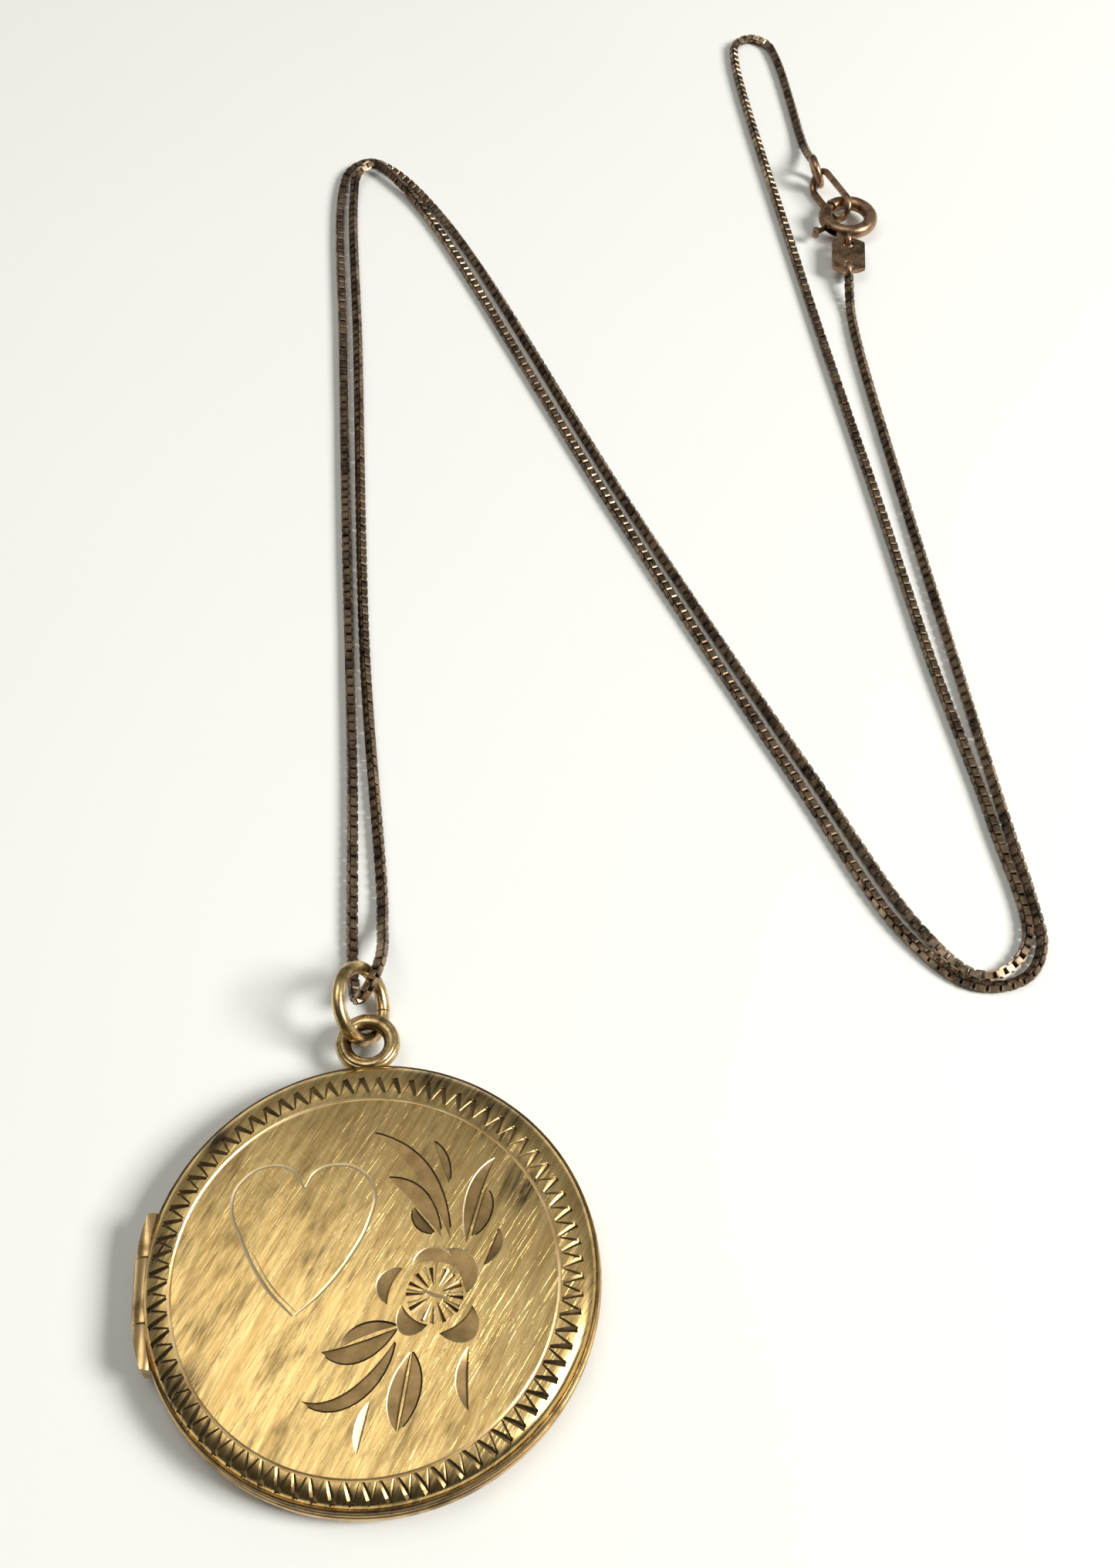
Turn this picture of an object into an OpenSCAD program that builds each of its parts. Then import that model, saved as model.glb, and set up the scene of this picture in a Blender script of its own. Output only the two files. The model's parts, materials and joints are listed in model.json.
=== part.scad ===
// Round gold-filled picture locket on a fine box chain.
// Two domed shells close on a snap collar, a straight three-knuckle hinge joins
// them on the left (-X), and a soldered eye at the top (+Y) carries the jump ring.
// The locket lies on its back: the origin is the centre of the back's flat.

/* [Locket] */
// Outside diameter of the front cover at its rim
cover_d = 28; // [27:0.5:30]
// How far the back's rim stands out past the cover's rim
back_lip = 0.1; // [0:0.05:0.2]
// Diameter of the flat on the back
rest_d = 10; // [6:1:14]
// Height of the back's outer edge over the flat
back_rise = 0.75; // [0.7:0.05:0.9]
// Height of the parting line over the flat
part_z = 1.75; // [1.7:0.05:1.9]
// Gap between the two rims
rim_gap = 0.05; // [0.04:0.01:0.08]
// Height of the cover's straight rim
cover_rim_h = 0.8; // [0.7:0.05:1]
// Radial width of the cover's shoulder between rim and face
shoulder_w = 2.2; // [2:0.1:2.4]
// Rise of the shoulder from rim to face
shoulder_h = 0.9; // [0.8:0.05:1.2]
// Rise of the face from its edge to its middle
face_rise = 0.7; // [0.5:0.05:1]
// Thickness of the sheet metal
sheet_t = 0.35; // [0.3:0.01:0.4]
// Thickness of the rim walls
wall_t = 0.65; // [0.6:0.05:0.75]

/* [Picture frames] */
// Distance of the bezels' seat inside the cover's rim
seat_inset = 2.1; // [2:0.05:2.5]
// Radial width of a bezel
bezel_w = 1.3; // [0.9:0.1:1.9]
// Height of a bezel
bezel_h = 0.5; // [0.4:0.05:0.55]
// Thickness of a window
window_t = 0.22; // [0.15:0.01:0.25]
// Thickness of a picture card
card_t = 0.13; // [0.1:0.01:0.15]
// Height of the snap collar over the parting line
collar_h = 0.45; // [0.3:0.05:0.5]
// Radial thickness of the snap collar
collar_t = 0.25; // [0.2:0.01:0.3]
// Distance of the collar outside the bezels' seat
collar_inset = 0.5; // [0.45:0.01:0.55]
// Radial clearance between the collar and the cover's frame
collar_gap = 0.1; // [0.05:0.01:0.15]

/* [Hinge] */
// Diameter of the knuckles
knuckle_d = 1.7; // [1.6:0.05:1.8]
// Distance of the pin's axis inside the cover's rim
pin_inset = 0.25; // [0.2:0.05:0.35]
// Diameter of the hinge pin
pin_d = 0.4; // [0.35:0.05:0.45]
// Radial clearance of the pin in the cover's knuckles
pin_play = 0.025; // [0.02:0.005:0.04]
// Length of the whole hinge
hinge_l = 9.8; // [9:0.2:10]
// Length of the middle knuckle
middle_l = 4.1; // [3.6:0.1:4.4]
// Clearance between the knuckles and round them
knuckle_gap = 0.05; // [0.04:0.01:0.08]
// Closed end of the outer knuckles past the pin
knuckle_cap = 0.85; // [0.4:0.05:1]
// How far the knuckles stand out past the cover's rim
knuckle_out = 0.6; // [0.5:0.05:0.6]

/* [Eye and jump ring] */
// Outside diameter of the eye
eye_d = 4.3; // [4:0.1:4.4]
// Wire thickness of the eye
eye_wire = 1.06; // [0.9:0.02:1.1]
// Mean diameter of the jump ring
jump_d = 4.9; // [4.6:0.1:5]
// Wire thickness of the jump ring
jump_wire = 0.9; // [0.8:0.05:0.9]
// Width of the cut in the jump ring
jump_cut = 0.06; // [0.04:0.01:0.1]

/* [Chain] */
// Outside width of the box chain
chain_w = 0.72; // [0.6:0.02:0.74]

/* [Clasp] */
// Mean diameter of the spring ring
clasp_d = 4.2; // [4.1:0.1:4.3]
// Thickness of the spring ring's tube
clasp_tube_d = 1.26; // [1.2:0.02:1.3]
// Bore of the tube
clasp_bore_d = 0.9; // [0.86:0.02:0.94]
// Radial clearance of the bolt in the bore
bolt_play = 0.05; // [0.04:0.01:0.07]
// Length of the tag
tag_l = 4.6; // [4.2:0.1:4.8]
// Width of the tag
tag_w = 3; // [2.6:0.1:3.2]
// Thickness of the tag
tag_t = 0.4; // [0.35:0.05:0.45]

/* [Hidden] */
$fn = 96;

gold = "#c9a351";
worn_gold = "#a8843e";
dark_gold = "#6d5636";
clear = "#e8e4d6";
paper = "#efe8d8";

// Levels and radii of the locket
cover_r = cover_d / 2;
back_r = cover_r + back_lip;
rest_r = rest_d / 2;
cover_z = part_z + rim_gap;
rim_top_z = cover_z + cover_rim_h;
face_r = cover_r - shoulder_w;
step_down = 0.05;
face_z = rim_top_z - step_down + shoulder_h;
top_z = face_z + face_rise;
wall_r = cover_r - wall_t;
seat_r = cover_r - seat_inset;
view_r = seat_r - bezel_w;
disc_gap = 0.3;
disc_r = seat_r - disc_gap;
collar_r = seat_r + collar_inset;
collar_seat_r = collar_r + collar_gap;
hinge_z = part_z + rim_gap / 2;
hinge_x = -(cover_r - pin_inset);
knuckle_r = knuckle_d / 2;
// Clearance of a soldered frame in its rim wall, and over a piece below it
solder_gap = 0.02;
stack_gap = 0.03;
frame_r = wall_r - solder_gap;

// Heights of a circular arc that rises by h over a radius r, at radius x
function arc_radius(r, h) = (r * r + h * h) / (2 * h);
function bowl_z(x, r, h) = arc_radius(r, h) - sqrt(pow(arc_radius(r, h), 2) - x * x);

// The back's outer surface over the resting plane
back_depth = back_rise + 0.1;
function back_z(x) = max(0, bowl_z(x, back_r, back_depth) - bowl_z(rest_r, back_r, back_depth));
// The cover's face, as a dome
function face_at(x) = face_z + face_rise - bowl_z(x, face_r, face_rise);

// Points of the profiles, from the axis outwards
edge_r = 0.4;
lip_r = 0.15;
lip_w = 0.2;
bowl_steps = 12;
shoulder_steps = 10;
edge_steps = 6;
back_under = [for (i = [0:bowl_steps]) let (x = rest_r + (back_r - edge_r - rest_r) * i / bowl_steps)
              [x, back_z(x)]];
back_edge = [for (i = [1:edge_steps]) let (a = -90 + 90 * i / edge_steps)
             [back_r - edge_r + edge_r * cos(a), back_z(back_r - edge_r) + edge_r * (1 + sin(a))]];
face_points = [for (i = [0:bowl_steps]) let (x = face_r * i / bowl_steps) [x, face_at(x)]];
shoulder_points = [for (i = [1:shoulder_steps]) let (a = 90 - 90 * i / shoulder_steps)
                   [face_r + (shoulder_w - lip_w) * cos(a), rim_top_z - step_down + shoulder_h * sin(a)]];
lip_points = [for (i = [1:edge_steps]) let (a = 90 - 90 * i / edge_steps)
              [cover_r - lip_r + lip_r * cos(a), rim_top_z - lip_r + lip_r * sin(a)]];
// The shoulder's inner side, from the rim wall up to the face
inner_face_r = face_r - 0.1;
inner_rim_z = rim_top_z - 0.1;
inner_rise = face_at(inner_face_r) - sheet_t - inner_rim_z;
inner_w = wall_r - inner_face_r;
inner_shoulder_points = [for (i = [1:shoulder_steps - 1]) let (a = 90 * i / shoulder_steps)
                         [inner_face_r + inner_w * cos(a), inner_rim_z + inner_rise * sin(a)]];
// Both inner faces, from their edge to the axis
function inner_bowl(x_edge) = [for (i = [0:edge_steps]) x_edge * (edge_steps - i) / edge_steps];

// A solid of revolution about the locket's axis, from a closed profile
module turned(profile) {
    rotate_extrude($fn = 180) polygon(profile);
}

// A round bar along Y on the hinge axis
module hinge_bar(r, y0, y1) {
    translate([hinge_x, y1, hinge_z]) rotate([90, 0, 0]) cylinder(r = r, h = y1 - y0);
}

// A flat washer about the locket's axis
module washer(r_out, r_in, z, h) {
    translate([0, 0, z]) difference() {
        cylinder(r = r_out, h = h, $fn = 180);
        translate([0, 0, -1]) cylinder(r = r_in, h = h + 2, $fn = 180);
    }
}

// A card or a window: a round disc that lies in a frame
module disc(z, h) {
    translate([0, 0, z]) cylinder(r = disc_r, h = h, $fn = 180);
}

// A torus about Z
module ring(mean_r, wire_r) {
    rotate_extrude($fn = 96) translate([mean_r, 0]) circle(r = wire_r, $fn = 32);
}

// Room for the cover's knuckles, and the seat of the middle one, in the back half
module back_hinge_room() {
    hinge_bar(knuckle_r, -middle_l / 2, middle_l / 2);
    for (side = [-1, 1]) {
        y = side * (middle_l / 2 + (hinge_l - middle_l) / 4 + knuckle_gap / 2);
        half = (hinge_l - middle_l) / 4 + knuckle_gap / 2;
        hinge_bar(knuckle_r + knuckle_gap, y - half, y + half);
    }
}

// Room for the middle knuckle, and the seats of the outer ones, in the front half
module front_hinge_room() {
    hinge_bar(knuckle_r + knuckle_gap, -middle_l / 2 - knuckle_gap, middle_l / 2 + knuckle_gap);
    for (side = [-1, 1])
        hinge_bar(knuckle_r, min(side * hinge_l, side * (middle_l + knuckle_gap)) / 2,
                  max(side * hinge_l, side * (middle_l + knuckle_gap)) / 2);
}

// One knuckle, its outer face dressed to follow the rim
module knuckle(y0, y1, bore_r) {
    bore_end = hinge_l / 2 - knuckle_cap;
    difference() {
        intersection() {
            hinge_bar(knuckle_r, y0, y1);
            cylinder(r = cover_r + knuckle_out, h = 2 * top_z, $fn = 180);
        }
        hinge_bar(bore_r, max(y0 - 1, -bore_end), min(y1 + 1, bore_end));
    }
}

// Back half ---------------------------------------------------------------

// Domed back with its rim wall
module back_shell() {
    color(gold) difference() {
        turned(concat([[0, 0]], back_under, back_edge, [[back_r, part_z], [wall_r, part_z]],
                      [for (x = inner_bowl(wall_r)) [x, back_z(x) + sheet_t]]));
        back_hinge_room();
    }
}

// Inner frame soldered into the back, with the snap collar
collar_top_z = part_z + collar_h;
module back_frame() {
    frame_z = back_z(frame_r) + sheet_t + solder_gap;
    color(worn_gold) difference() {
        turned([[seat_r, frame_z], [frame_r, frame_z], [frame_r, part_z], [collar_r, part_z],
                [collar_r, collar_top_z], [collar_r - collar_t, collar_top_z],
                [collar_r - collar_t, part_z], [seat_r, part_z]]);
        back_hinge_room();
    }
}

// Card, window and bezel lie one on the other over the back's floor
back_card_z = back_z(disc_r) + sheet_t + stack_gap;
back_window_z = back_card_z + card_t;
module back_card() {
    color(paper) disc(back_card_z, card_t);
}

module back_window() {
    color(clear) disc(back_window_z, window_t);
}

module back_bezel() {
    color(gold) washer(seat_r, view_r, back_window_z + window_t, bezel_h);
}

module hinge_knuckle_middle() {
    color(gold) knuckle(-middle_l / 2, middle_l / 2, pin_d / 2);
}

module hinge_pin() {
    reach = hinge_l / 2 - knuckle_cap - knuckle_gap;
    color(worn_gold) hinge_bar(pin_d / 2, -reach, reach);
}

// Eye soldered to the back's rim at the top, its hole square to the locket's face
eye_mean_r = (eye_d - eye_wire) / 2;
eye_sunk = 0.25;
eye_at = [0, back_r + eye_d / 2 - eye_sunk, part_z];
module eye() {
    foot = [1.8, 0.4, 0.45];
    color(gold) difference() {
        union() {
            translate(eye_at) ring(eye_mean_r, eye_wire / 2);
            translate([-foot.x / 2, 0, part_z - foot.z]) cube([foot.x, back_r + foot.y, foot.z]);
        }
        translate([0, 0, -1]) cylinder(r = back_r, h = 2 * top_z, $fn = 180);
    }
}

// Front half --------------------------------------------------------------

// Front cover: domed face, rounded shoulder and straight rim
module front_cover() {
    color(gold) difference() {
        turned(concat(face_points, shoulder_points, [[cover_r - lip_r, rim_top_z]], lip_points,
                      [[cover_r, cover_z], [wall_r, cover_z], [wall_r, inner_rim_z]], inner_shoulder_points,
                      [for (x = inner_bowl(inner_face_r)) [x, face_at(x) - sheet_t]]));
        front_hinge_room();
    }
}

// Inner frame soldered into the cover, bored to pass over the collar
module front_frame() {
    groove_z = collar_top_z + 0.15;
    frame_top_z = rim_top_z + 0.15;
    chamfer = 0.35;
    color(worn_gold) difference() {
        turned([[collar_seat_r, cover_z], [frame_r, cover_z], [frame_r, inner_rim_z],
                [frame_r - chamfer, frame_top_z], [seat_r, frame_top_z],
                [seat_r, groove_z], [collar_seat_r, groove_z]]);
        front_hinge_room();
    }
}

// Card, window and bezel lie one under the other below the face
front_card_z = face_z - sheet_t - 3 * stack_gap - card_t;
front_window_z = front_card_z - window_t;
module front_card() {
    color(paper) disc(front_card_z, card_t);
}

module front_window() {
    color(clear) disc(front_window_z, window_t);
}

module front_bezel() {
    color(gold) washer(seat_r, view_r, front_window_z - bezel_h, bezel_h);
}

module hinge_knuckle_upper() {
    color(gold) knuckle((middle_l + knuckle_gap) / 2, hinge_l / 2, pin_d / 2 + pin_play);
}

module hinge_knuckle_lower() {
    color(gold) knuckle(-hinge_l / 2, -(middle_l + knuckle_gap) / 2, pin_d / 2 + pin_play);
}

// Jump ring ---------------------------------------------------------------

// It stands through the eye, just over the surface, and leans to the right
jump_r = jump_d / 2;
jump_lean = 59;
jump_yaw = -11;
jump_cut_at = 15;
jump_lift = 0.05;
jump_z = jump_r * sin(jump_lean) + jump_wire / 2 + jump_lift;
// Where its wire passes through the eye's hole, from the eye's centre and from the ring's own
eye_pass = [-0.27, 0.3];
pass_a = -acos((jump_z - eye_at.z) / (jump_r * sin(jump_lean)));
pass = jump_r * [cos(pass_a) * cos(jump_lean), sin(pass_a)];
jump_at = [eye_at.x + eye_pass.x - pass.x * cos(jump_yaw) + pass.y * sin(jump_yaw),
           eye_at.y + eye_pass.y - pass.x * sin(jump_yaw) - pass.y * cos(jump_yaw), jump_z];
module jump_ring() {
    color(gold) translate(jump_at) rotate([0, jump_lean, jump_yaw]) difference() {
        ring(jump_r, jump_wire / 2);
        rotate(jump_cut_at) translate([0, -jump_cut / 2, -jump_wire]) cube([jump_d, jump_cut, 2 * jump_wire]);
    }
}

// Clasp -------------------------------------------------------------------

clasp_at = [45.9, 98.3, 1.3];
clasp_turn = -8.8;
clasp_r = clasp_d / 2;
tube_r = clasp_tube_d / 2;
bolt_r = clasp_bore_d / 2 - bolt_play;
// Angles round the spring ring: its opening, the bolt and the trigger's slot
gap_from = 136;
gap_to = 162;
trigger_at = 219;
bolt_travel = 24;
bolt_past = 4;
slot_w = 0.6;

module at_clasp() {
    translate(clasp_at) rotate(clasp_turn) children();
}

// A bent round bar in the ring's plane, from one angle to another
module bent_bar(r, from, to) {
    rotate(from) rotate_extrude(angle = to - from, $fn = 120) translate([clasp_r, 0]) circle(r = r, $fn = 32);
}

module clasp_tube() {
    color(worn_gold) at_clasp() difference() {
        bent_bar(tube_r, gap_to, gap_from + 360);
        ring(clasp_r, clasp_bore_d / 2);
        rotate(trigger_at - bolt_past) rotate_extrude(angle = bolt_travel + 2 * bolt_past, $fn = 120)
            translate([clasp_r, -slot_w / 2]) square([2 * tube_r, slot_w]);
    }
}

module clasp_bolt() {
    color(gold) at_clasp() bent_bar(bolt_r, gap_from - bolt_past, trigger_at + bolt_past);
}

// Thumb trigger, which stands on the bolt and passes through the slot
module clasp_trigger() {
    reach = clasp_r + tube_r + 1.1;
    stem_w = 0.24;
    stem_h = slot_w - 0.16;
    knob_r = 0.3;
    knob_h = 0.8;
    color(gold) at_clasp() rotate(trigger_at) difference() {
        union() {
            translate([clasp_r, -stem_w / 2, -stem_h / 2]) cube([reach - clasp_r, stem_w, stem_h]);
            translate([reach, 0, -knob_h / 2]) cylinder(r = knob_r, h = knob_h, $fn = 32);
        }
        bent_bar(bolt_r, -6, 6);
    }
}

// Bolt spring, drawn pressed together behind the bolt
spring_turns = 10;
spring_pitch = 6;
spring_wire = 0.14;
module clasp_spring() {
    spring_from = trigger_at + bolt_travel + 10;
    color(dark_gold) at_clasp() for (i = [0:spring_turns - 1])
        rotate(spring_from + spring_pitch * i) translate([clasp_r, 0, 0]) rotate([90, 0, 0])
            rotate_extrude($fn = 24) translate([bolt_r - 0.1, 0]) circle(d = spring_wire, $fn = 14);
}

// Small eye on the spring ring, opposite its opening
small_ring_r = 0.62;
small_ring_wire = 0.5;
clasp_eye_y = -clasp_r - tube_r - small_ring_r + 0.07;
module clasp_eye() {
    color(worn_gold) at_clasp() difference() {
        translate([0, clasp_eye_y, 0]) rotate([0, 90, 0]) ring(small_ring_r, small_ring_wire / 2);
        ring(clasp_r, tube_r);
    }
}

// Flat tag between the spring ring and the chain, its plane level, a hole at each end
tag_hole_d = 0.95;
tag_bar = 0.4;
tag_top_y = clasp_eye_y + 0.15;
module clasp_tag() {
    tag_r = tag_w / 2;
    color(worn_gold) at_clasp() difference() {
        translate([-tag_r, tag_top_y - tag_l, -tag_t / 2]) intersection() {
            cube([tag_w, tag_l, tag_t]);
            translate([tag_r, tag_l / 2, 0]) cylinder(r = tag_l / 2, h = tag_t);
        }
        for (y = [tag_top_y - tag_bar - tag_hole_d / 2, tag_top_y - tag_l + tag_bar + tag_hole_d / 2])
            translate([0, y, -1]) cylinder(d = tag_hole_d, h = 2, $fn = 32);
    }
}

// Ring through the tag's lower hole, which takes the chain's end
tag_ring_y = tag_top_y - tag_l + tag_bar / 2;
module tag_ring() {
    color(worn_gold) at_clasp() translate([0, tag_ring_y, 0]) rotate([0, 90, 0])
        ring(small_ring_r, small_ring_wire / 2);
}

// Long link that the spring ring catches, tipped on its long side
link_at = [44.8, 101.55, 1.33];
link_turn = [0, -62, 19];
link_l = 6.6;
link_w = 2.9;
link_wire = 0.6;
module catch_link() {
    mean_r = (link_w - link_wire) / 2;
    straight = link_l - link_w;
    color(worn_gold) translate(link_at) rotate(link_turn) {
        for (side = [-1, 1]) {
            translate([0, side * straight / 2, 0]) rotate(side > 0 ? 0 : 180)
                rotate_extrude(angle = 180, $fn = 96) translate([mean_r, 0]) circle(d = link_wire, $fn = 32);
            translate([side * mean_r, straight / 2, 0]) rotate([90, 0, 0])
                cylinder(d = link_wire, h = straight, $fn = 32);
        }
    }
}

// Ring that joins the long link to the chain's other end
catch_ring_at = [43.9, 104.75, 1.69];
catch_ring_turn = [0, 73, 6];
catch_ring_r = 1.3;
catch_ring_wire = 0.7;
module catch_ring() {
    color(worn_gold) translate(catch_ring_at) rotate(catch_ring_turn) ring(catch_ring_r, catch_ring_wire / 2);
}

// Chain -------------------------------------------------------------------

// The chain's route from the tag to the catch ring: down the right side, round the lower
// bend, up to the far left, down to the jump ring, through it, and the same way back
chain_z = chain_w / 2;
route = [
    [44.6, 89.9, 1.3], [44.3, 86.5, 0.5], [44.2, 82, chain_z], [44.9, 63, chain_z], [45.7, 46.5, chain_z],
    [46.5, 31, chain_z], [46.9, 24.4, chain_z], [46.8, 20.8, chain_z], [45.5, 18.6, chain_z],
    [43.4, 17.8, chain_z], [40.9, 18.4, chain_z], [37.4, 22.5, chain_z], [31.7, 36.3, chain_z],
    [20.6, 64.9, chain_z], [7.6, 100.9, chain_z], [4.6, 106.8, 0.8], [2.1, 109.8, 1.15],
    [0.5, 108.6, 1], [0, 105.5, 0.6], [0.1, 85, chain_z], [0.2, 50, chain_z], [1.1, 28.3, chain_z],
    [1.1, 25.5, 0.9], [1.15, 23.3, 2], [1, 21.5, 3], [0.65, 20.4, 3.15], [0.2, 19.6, 2.9],
    [-0.4, 19.2, 2.3], [-0.75, 19.6, 1.5], [-0.95, 20.8, 0.75], [-1.05, 22.6, chain_z],
    [-0.9, 38, chain_z], [-1, 50, chain_z], [-1.2, 85, chain_z], [-1.1, 106.6, chain_z],
    [-0.2, 109.8, chain_z], [1.6, 110.9, chain_z], [3.8, 109.4, chain_z], [8.8, 100.9, chain_z],
    [21.9, 64.8, chain_z], [33, 36.2, chain_z], [38.5, 22.9, chain_z], [41.6, 18.9, chain_z],
    [43.7, 18.9, chain_z], [45.9, 21.3, chain_z], [45.5, 31.2, chain_z], [43.9, 46.6, chain_z],
    [42.7, 63.3, chain_z], [40.5, 93, chain_z], [38.8, 125.2, chain_z], [39.3, 127.4, chain_z],
    [40.9, 128.2, chain_z], [42.4, 127.1, chain_z], [43, 124.7, chain_z], [43.6, 110, 0.7],
    [43.7, 106.6, 1.7]];

// Tangent of the route at point i
function route_tangent(i) =
    let (v = route[min(i + 1, len(route) - 1)] - route[max(i - 1, 0)]) v / norm(v);

chain_sides = 8;
// One ring of the tube's corners round point p, square to direction t
function tube_ring(p, t) =
    let (side = cross(t, [0, 0, 1]), u = side / norm(side), v = cross(u, t))
    [for (k = [0:chain_sides - 1]) let (a = 360 * (k + 0.5) / chain_sides)
     p + chain_w / 2 * (cos(a) * u + sin(a) * v)];

module chain() {
    last = len(route) - 1;
    rings = [for (i = [0:last]) tube_ring(route[i], route_tangent(i))];
    points = [for (r = rings) each r];
    faces = concat(
        [[for (k = [0:chain_sides - 1]) k]],
        [for (i = [0:last - 1], k = [0:chain_sides - 1]) let (m = (k + 1) % chain_sides)
         [i * chain_sides + k, (i + 1) * chain_sides + k, (i + 1) * chain_sides + m, i * chain_sides + m]],
        [[for (k = [0:chain_sides - 1]) last * chain_sides + chain_sides - 1 - k]]);
    color(dark_gold) polyhedron(points, faces, convexity = 10);
}

back_shell();
back_frame();
back_card();
back_window();
back_bezel();
hinge_knuckle_middle();
hinge_pin();
eye();
front_cover();
front_frame();
front_card();
front_window();
front_bezel();
hinge_knuckle_upper();
hinge_knuckle_lower();
jump_ring();
chain();
clasp_tube();
clasp_bolt();
clasp_trigger();
clasp_spring();
clasp_eye();
clasp_tag();
tag_ring();
catch_link();
catch_ring();
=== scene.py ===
"""Looks of a round engraved picture locket on a fine box chain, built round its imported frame."""

import json
import logging
import math
from dataclasses import dataclass, field
from enum import Enum
from typing import Iterable, Sequence

import bmesh
import bpy
from mathutils import Matrix, Vector


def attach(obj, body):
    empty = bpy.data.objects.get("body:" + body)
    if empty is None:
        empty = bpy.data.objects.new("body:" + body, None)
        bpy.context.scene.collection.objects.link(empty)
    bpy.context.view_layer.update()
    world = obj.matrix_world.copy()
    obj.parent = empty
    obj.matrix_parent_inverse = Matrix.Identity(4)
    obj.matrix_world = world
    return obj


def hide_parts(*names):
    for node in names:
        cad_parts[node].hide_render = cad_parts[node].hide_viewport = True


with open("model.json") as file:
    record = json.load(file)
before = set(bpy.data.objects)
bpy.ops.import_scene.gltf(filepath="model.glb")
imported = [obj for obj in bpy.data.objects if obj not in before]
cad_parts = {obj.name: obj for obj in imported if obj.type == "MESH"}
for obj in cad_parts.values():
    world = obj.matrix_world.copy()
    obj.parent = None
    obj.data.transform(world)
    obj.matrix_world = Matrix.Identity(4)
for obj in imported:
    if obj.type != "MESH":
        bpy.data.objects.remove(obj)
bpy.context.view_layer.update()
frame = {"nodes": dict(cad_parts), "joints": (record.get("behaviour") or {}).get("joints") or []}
MM = 0.001
# Points closer than this are one point
SAME = 0.0005 * MM
log = logging.getLogger("locket")

Point = tuple[float, float]
Point3 = tuple[float, float, float]


class Body(Enum):
    """The bodies that the pieces ride on."""

    BACK = "back"
    COVER = "cover"
    JUMP_RING = "jump_ring"
    BOLT = "bolt"


# Shared helpers --------------------------------------------------------------


def linear(hex_colour: str) -> tuple[float, float, float, float]:
    """Turns an sRGB hex colour into linear light.

    Args:
        hex_colour: the colour, such as "#c9a351".

    Returns:
        Red, green, blue and an alpha of 1.
    """
    parts = [int(hex_colour[i:i + 2], 16) / 255 for i in (1, 3, 5)]
    red, green, blue = (c / 12.92 if c <= 0.04045 else ((c + 0.055) / 1.055) ** 2.4 for c in parts)
    return red, green, blue, 1.0


def add_node(tree: bpy.types.NodeTree, kind: str, inputs: dict | None = None, **settings) -> bpy.types.Node:
    """Adds a node with its settings, values and links.

    Args:
        tree: the node tree.
        kind: the node's type name.
        inputs: values, or output sockets to link, by the input's name or number.
        settings: the node's own attributes.

    Returns:
        The new node.
    """
    node = tree.nodes.new(kind)
    for name, value in settings.items():
        setattr(node, name, value)
    for key, value in (inputs or {}).items():
        if isinstance(value, bpy.types.NodeSocket):
            tree.links.new(value, node.inputs[key])
        else:
            node.inputs[key].default_value = value
    return node


def new_material(name: str) -> tuple[bpy.types.Material, bpy.types.NodeTree, bpy.types.Node]:
    """Makes an empty material.

    Args:
        name: the material's name.

    Returns:
        The material, its node tree and its shader.
    """
    material = bpy.data.materials.new(name)
    material.use_nodes = True
    tree = material.node_tree
    return material, tree, tree.nodes["Principled BSDF"]


def place(piece: bpy.types.Object, body: Body, slot: str, *nodes: str) -> None:
    """Lets a piece ride on its body and stand for its CAD nodes.

    Args:
        piece: the piece.
        body: the body that it moves with.
        slot: the record's material slot; not used.
        nodes: the CAD nodes that it stands for.
    """
    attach(piece, body.value)
    if nodes:
        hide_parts(*nodes)
    log.info("%s: %d faces on %s", piece.name, len(piece.data.polygons), body.value)


def object_from(name: str, bm: bmesh.types.BMesh, materials: Iterable[bpy.types.Material] = ()) -> bpy.types.Object:
    """Makes an object from a finished bmesh, and frees the bmesh.

    Args:
        name: the object's name.
        bm: the shape, in metres in the row frame.
        materials: the material of each slot.

    Returns:
        The object, linked to the scene.
    """
    mesh = bpy.data.meshes.new(name)
    bm.to_mesh(mesh)
    bm.free()
    for material in materials:
        mesh.materials.append(material)
    piece = bpy.data.objects.new(name, mesh)
    bpy.context.scene.collection.objects.link(piece)
    return piece


def smooth(piece: bpy.types.Object, sharp_angle: float = 30.0) -> None:
    """Shades a piece smooth, and keeps its edges above an angle sharp.

    Args:
        piece: the piece.
        sharp_angle: the angle, in degrees.
    """
    piece.data.shade_smooth()
    piece.data.set_sharp_from_angle(angle=math.radians(sharp_angle))


def carve(piece: bpy.types.Object, cutter: bpy.types.Object, operation: str = "DIFFERENCE",
          overlapping: bool = False) -> None:
    """Cuts a piece with another object, which is then removed. New faces keep the cutter's materials.

    Args:
        piece: the piece that is cut.
        cutter: the cutting object.
        operation: DIFFERENCE, UNION or INTERSECT.
        overlapping: True where the cutter's own parts run into each other.
    """
    modifier = piece.modifiers.new("carve", "BOOLEAN")
    modifier.operation = operation
    modifier.object = cutter
    modifier.solver = "EXACT"
    modifier.material_mode = "TRANSFER"
    modifier.use_self = overlapping
    depsgraph = bpy.context.evaluated_depsgraph_get()
    carved = bpy.data.meshes.new_from_object(piece.evaluated_get(depsgraph))
    piece.modifiers.clear()
    old = piece.data
    piece.data = carved
    carved.name = old.name
    bpy.data.meshes.remove(old)
    bpy.data.objects.remove(cutter)


def tidy(bm: bmesh.types.BMesh) -> None:
    """Merges a shape's doubled points and turns its faces outwards."""
    bmesh.ops.remove_doubles(bm, verts=bm.verts, dist=SAME)
    bmesh.ops.recalc_face_normals(bm, faces=bm.faces)


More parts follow.
